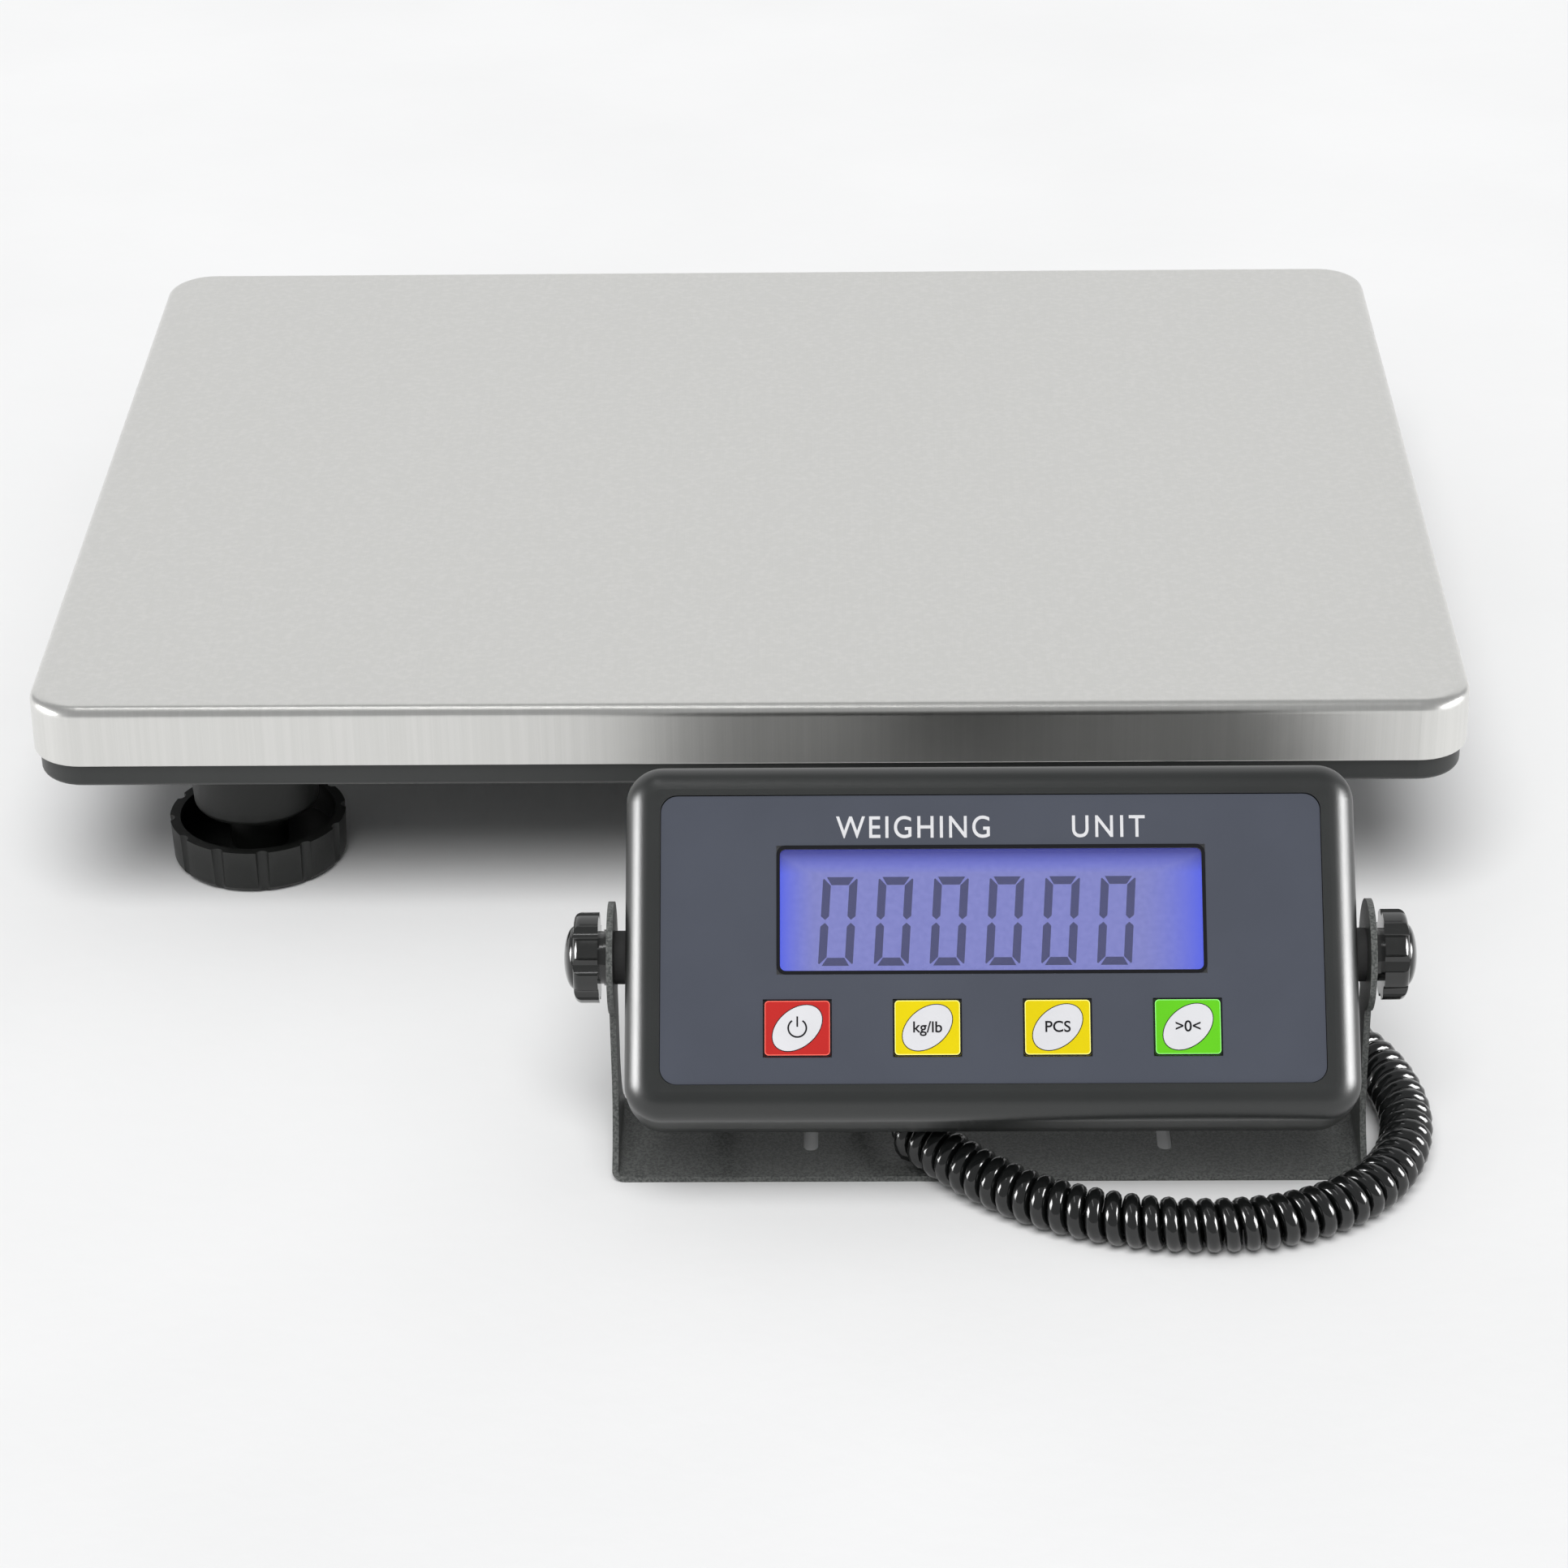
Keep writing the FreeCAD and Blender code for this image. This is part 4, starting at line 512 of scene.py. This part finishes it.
cord_path = curly_path()
cord = tube_piece("curly_cord", cord_path, WIRE, TUBE_SIDES)
cord.data.materials.append(SLOTS["cord_black"])
bpy.context.scene.collection.objects.link(cord)
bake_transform(cord)
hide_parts("cord_lead", "cord_coil_start", "cord_coil", "cord_tail")


# ---------------------------------------------------------------- face of the indicator

overlay_low, overlay_high = case_box("overlay")
window_low, window_high = case_box("display_window")

# Display: dark printed frame, lit field and segments behind the clear window.
FRAME_WIDTH, FRAME_CORNER, FRAME_INNER_CORNER = 0.85 * MM, 2.2 * MM, 1.4 * MM
LIP, FIELD_CORNER = 0.82 * MM, 1.5 * MM
flat_piece(
    "window_frame",
    [rounded_outline(window_low.x, window_low.z, window_high.x, window_high.z, FRAME_CORNER)],
    window_low.y - INK, INK, "case", BLACK_INK,
    hole=rounded_outline(window_low.x + FRAME_WIDTH, window_low.z + FRAME_WIDTH,
                         window_high.x - FRAME_WIDTH, window_high.z - FRAME_WIDTH, FRAME_INNER_CORNER),
)
lit_low = Vector((window_low.x + LIP, window_high.y, window_low.z + LIP))
lit_high = Vector((window_high.x - LIP, window_high.y, window_high.z - LIP))
lit_depth = window_high.y + 0.1 * MM
flat_piece(
    "display_field",
    [rounded_outline(lit_low.x, lit_low.z, lit_high.x, lit_high.z, FIELD_CORNER)],
    lit_depth, 0.1 * MM, "case", display_light(lit_low, lit_high),
)

DIGITS = 6
DIGIT_WIDTH, DIGIT_HEIGHT, DIGIT_PITCH = 8.3 * MM, 21.6 * MM, 13.3 * MM
FIRST_DIGIT = -36.6 * MM  # middle of the leftmost digit
DIGIT_DROP = 2.7 * MM  # below the middle of the window
STROKE = 1.95 * MM
CUT = 0.75 * MM  # how far a bar's corner is cut back
GAP = 0.14 * MM  # between neighbouring bars
CUT_IN = 0.35 * CUT  # how far the upright bars' outer corners step in
TIP, TAPER = 0.36 * MM, 0.9 * MM  # middle tips: distance from the digit's middle, and length
TIP_IN = 0.55 * STROKE  # how far the middle tips stand in from the side
SHEAR = 0.062


def digit_zero(centre_x, centre_z):
    """Outlines of the six lit bars of a slanted seven-segment zero."""
    half_w, half_h = DIGIT_WIDTH / 2, DIGIT_HEIGHT / 2
    bars = []
    for up in (-1, 1):
        bar = [(-half_w + CUT + GAP, half_h), (half_w - CUT - GAP, half_h),
               (half_w - STROKE - GAP, half_h - STROKE), (-half_w + STROKE + GAP, half_h - STROKE)]
        bars.append([(x, up * z) for x, z in bar])
        for side in (-1, 1):
            bar = [(half_w, half_h - CUT + GAP), (half_w, TIP + TAPER), (half_w - TIP_IN, TIP),
                   (half_w - STROKE, TIP + TAPER), (half_w - STROKE, half_h - STROKE - GAP),
                   (half_w - CUT_IN, half_h - CUT_IN - GAP)]
            bars.append([(side * x, up * z) for x, z in bar])
    placed = []
    for bar in bars:
        outline = [(centre_x + x + z * SHEAR, centre_z + z) for x, z in bar]
        area = sum(a[0] * b[1] - b[0] * a[1] for a, b in zip(outline, outline[1:] + outline[:1]))
        placed.append(outline if area > 0 else outline[::-1])
    return placed


digit_z = (window_low.z + window_high.z) / 2 - DIGIT_DROP
segments = []
for digit in range(DIGITS):
    segments += digit_zero(FIRST_DIGIT + digit * DIGIT_PITCH, digit_z)
segment_ink = printed("segment_dark", (0.018, 0.022, 0.11), 0.5)
flat_piece("display_segments", segments, lit_depth - 0.06 * MM, 0.05 * MM, "case",
           segment_ink)

# Headings above the window.
HEADINGS = {"heading_left": ("WEIGHING", -18.3 * MM, 1.18), "heading_right": ("UNIT", 28.2 * MM, 1.25)}
HEADING_HEIGHT, HEADING_DROP = 5.5 * MM, 8.1 * MM
HEADING_STRETCH, HEADING_WEIGHT = 0.86, 0.05 * MM
for name, (word, x, spacing) in HEADINGS.items():
    lettering(name, word, x, overlay_high.z - HEADING_DROP, HEADING_HEIGHT, overlay_low.y - INK, "case",
              WHITE_INK, spacing, HEADING_STRETCH, HEADING_WEIGHT)

# Keys: dark printed border, thin painted highlight line just inside it, white tilted oval with a dark rim, generic
# mark.
KEY_MARKS = {"power": None, "unit": "kg/lb", "count": "PCS", "tare": ">0<"}
# Lighter copies of each key colour: painted highlight standing in for light caught along the key's raised edge.
KEY_PAINTED_HIGHLIGHTS = {
    "key_red": printed("key_red_painted_highlight", (0.95, 0.16, 0.12)),
    "key_yellow": printed("key_yellow_painted_highlight", (1.0, 0.95, 0.25)),
    "key_green": printed("key_green_painted_highlight", (0.3, 0.9, 0.2)),
}
KEY_BORDER, KEY_HIGHLIGHT_WIDTH, OVAL_RIM = 0.35 * MM, 0.2 * MM, 0.2 * MM
KEY_CORNER, LINE_CORNER, FACE_CORNER = 1.2 * MM, 0.9 * MM, 0.75 * MM
OVAL_LONG, OVAL_SHORT, OVAL_TILT = 6.9 * MM, 4.7 * MM, math.radians(40)
MARK_HEIGHT, MARK_WEIGHT = 2.7 * MM, 0.045 * MM
ARC_OUTSIDE, ARC_INSIDE, ARC_GAP = 2.35 * MM, 1.95 * MM, math.radians(35)
BAR_HALF, BAR_FOOT, BAR_TOP = 0.2 * MM, 0.3 * MM, 2.8 * MM


def key_ring(name, low, high, inset, width, outer_radius, inner_radius, body, material):
    """A line round a key, inset from its edge: the printed border, or the painted highlight line."""
    far = inset + width
    outer = rounded_outline(low.x + inset, low.z + inset, high.x - inset, high.z - inset, outer_radius)
    inner = rounded_outline(low.x + far, low.z + far, high.x - far, high.z - far, inner_radius)
    flat_piece(name, [outer], low.y - INK, INK, body, material, hole=inner)


for key, mark in KEY_MARKS.items():
    node, body = f"key_{key}", f"key_{key}_cap"
    slot = NODE_SLOT[node]
    low, high = case_box(node)
    x, z, front = (low.x + high.x) / 2, (low.z + high.z) / 2, low.y
    key_ring(f"{node}_border", low, high, 0, KEY_BORDER, KEY_CORNER, LINE_CORNER,
             body, BLACK_INK)
    # Thin lighter ring inside the border: painted highlight along the key's edge, not print.
    key_ring(f"{node}_painted_highlight_line", low, high, KEY_BORDER, KEY_HIGHLIGHT_WIDTH, LINE_CORNER, FACE_CORNER,
             body, KEY_PAINTED_HIGHLIGHTS[slot])
    flat_piece(f"{node}_rim", [ellipse_outline(x, z, OVAL_LONG, OVAL_SHORT, OVAL_TILT)],
               front - INK, INK, body, BLACK_INK)
    flat_piece(f"{node}_oval",
               [ellipse_outline(x, z, OVAL_LONG - OVAL_RIM, OVAL_SHORT - OVAL_RIM, OVAL_TILT)],
               front - 2 * INK, INK, body, WHITE_INK)
    if mark:
        lettering(f"{node}_mark", mark, x, z, MARK_HEIGHT, front - 3 * INK, body, BLACK_INK,
                  weight=MARK_WEIGHT)
    else:
        arc = arc_points(x, z, ARC_INSIDE, ARC_GAP) + arc_points(x, z, ARC_OUTSIDE, ARC_GAP)[::-1]
        bar = [(x - BAR_HALF, z + BAR_FOOT), (x + BAR_HALF, z + BAR_FOOT),
               (x + BAR_HALF, z + BAR_TOP), (x - BAR_HALF, z + BAR_TOP)]
        flat_piece(f"{node}_mark", [arc, bar], front - 3 * INK, INK, body, BLACK_INK)


# ---------------------------------------------------------------- floor, light and camera


def reflected_panel(name, place, target, width, height, power):
    """A bright panel that is seen only as a reflection."""
    data = bpy.data.lights.new(name, "AREA")
    data.shape = "RECTANGLE"
    data.size, data.size_y, data.energy = width, height, power
    lamp = bpy.data.objects.new(name, data)
    lamp.location = place
    lamp.rotation_euler = (Vector(target) - Vector(place)).to_track_quat("-Z", "Y").to_euler()
    lamp.visible_diffuse, lamp.visible_camera = False, False
    bpy.context.scene.collection.objects.link(lamp)
    return lamp


ground_mesh = bpy.data.meshes.new("ground")
FAR = 6  # from the middle of the floor to its edge
ground_mesh.from_pydata([(-FAR, -FAR, 0), (FAR, -FAR, 0), (FAR, FAR, 0), (-FAR, FAR, 0)],
                        [], [(0, 1, 2, 3)])
ground_mesh.materials.append(floor_paint())
ground = bpy.data.objects.new("ground", ground_mesh)
bpy.context.scene.collection.objects.link(ground)

world = bpy.data.worlds.new("studio")
world.use_nodes = True
background = world.node_tree.nodes["Background"]
background.inputs["Color"].default_value = (0.98, 0.99, 1.0, 1)
background.inputs["Strength"].default_value = 0.40
bpy.context.scene.world = world

# A wide soft light from the front, and panels around the object.
front_light = bpy.data.lights.new("front_soft", "SUN")
front_light.energy, front_light.angle = 2.55, math.radians(38)
front = bpy.data.objects.new("front_soft", front_light)
front.rotation_euler = (math.radians(34), 0, math.radians(-4))
front.visible_glossy = False
bpy.context.scene.collection.objects.link(front)
PANELS = {  # place, target, width, height, power
    "back_panel": ((0.0, 2.4, 1.3), (0, 0, 0.1), 6.0, 3.0, 26),
    "top_strip": ((-0.2, -0.3, 1.5), (0, -0.2, 0), 1.0, 0.08, 1.4),
    "left_panel": ((-1.3, -0.35, 0.24), (0, -0.2, 0.10), 0.8, 0.30, 11),
    "right_panel": ((1.3, -0.35, 0.24), (0, -0.2, 0.10), 0.8, 0.30, 11),
}
for name, settings in PANELS.items():
    reflected_panel(name, *settings)

# Two more panels, which only the indicator's housing, its knobs and the cord reflect.
glossy_parts = bpy.data.collections.new("glossy_parts")
for node in ("front_shell", "rear_shell", "star_knob_left", "star_knob_right"):
    glossy_parts.objects.link(NODES[node])
glossy_parts.objects.link(cord)
for name, side in (("left_case_panel", -1), ("right_case_panel", 1)):
    panel = reflected_panel(name, (1.3 * side, -0.45, 0.60), (0, -0.2, 0.06),
                            width=0.6, height=0.45, power=20)
    panel.light_linking.receiver_collection = glossy_parts
bpy.context.scene.view_settings.view_transform = "Standard"

CAMERA_PLACE = (0.0284, -1.09387, 0.6041)
PITCH, YAW, ROLL = math.radians(28.84), math.radians(-1.07), math.radians(-0.79)
LENS, SENSOR = 100.88, 36
forward = Vector((math.sin(YAW) * math.cos(PITCH), math.cos(YAW) * math.cos(PITCH), -math.sin(PITCH)))
right = Vector((math.cos(YAW), -math.sin(YAW), 0))
up = right.cross(forward)
right, up = right * math.cos(ROLL) + up * math.sin(ROLL), up * math.cos(ROLL) - right * math.sin(ROLL)
camera_data = bpy.data.cameras.new("camera")
camera_data.lens, camera_data.sensor_width = LENS, SENSOR
camera_data.clip_start, camera_data.clip_end = 0.05, 30
camera = bpy.data.objects.new("camera", camera_data)
axes = Matrix((right, up, -forward)).transposed()
camera.matrix_world = Matrix.Translation(CAMERA_PLACE) @ axes.to_4x4()
bpy.context.scene.collection.objects.link(camera)
bpy.context.scene.camera = camera
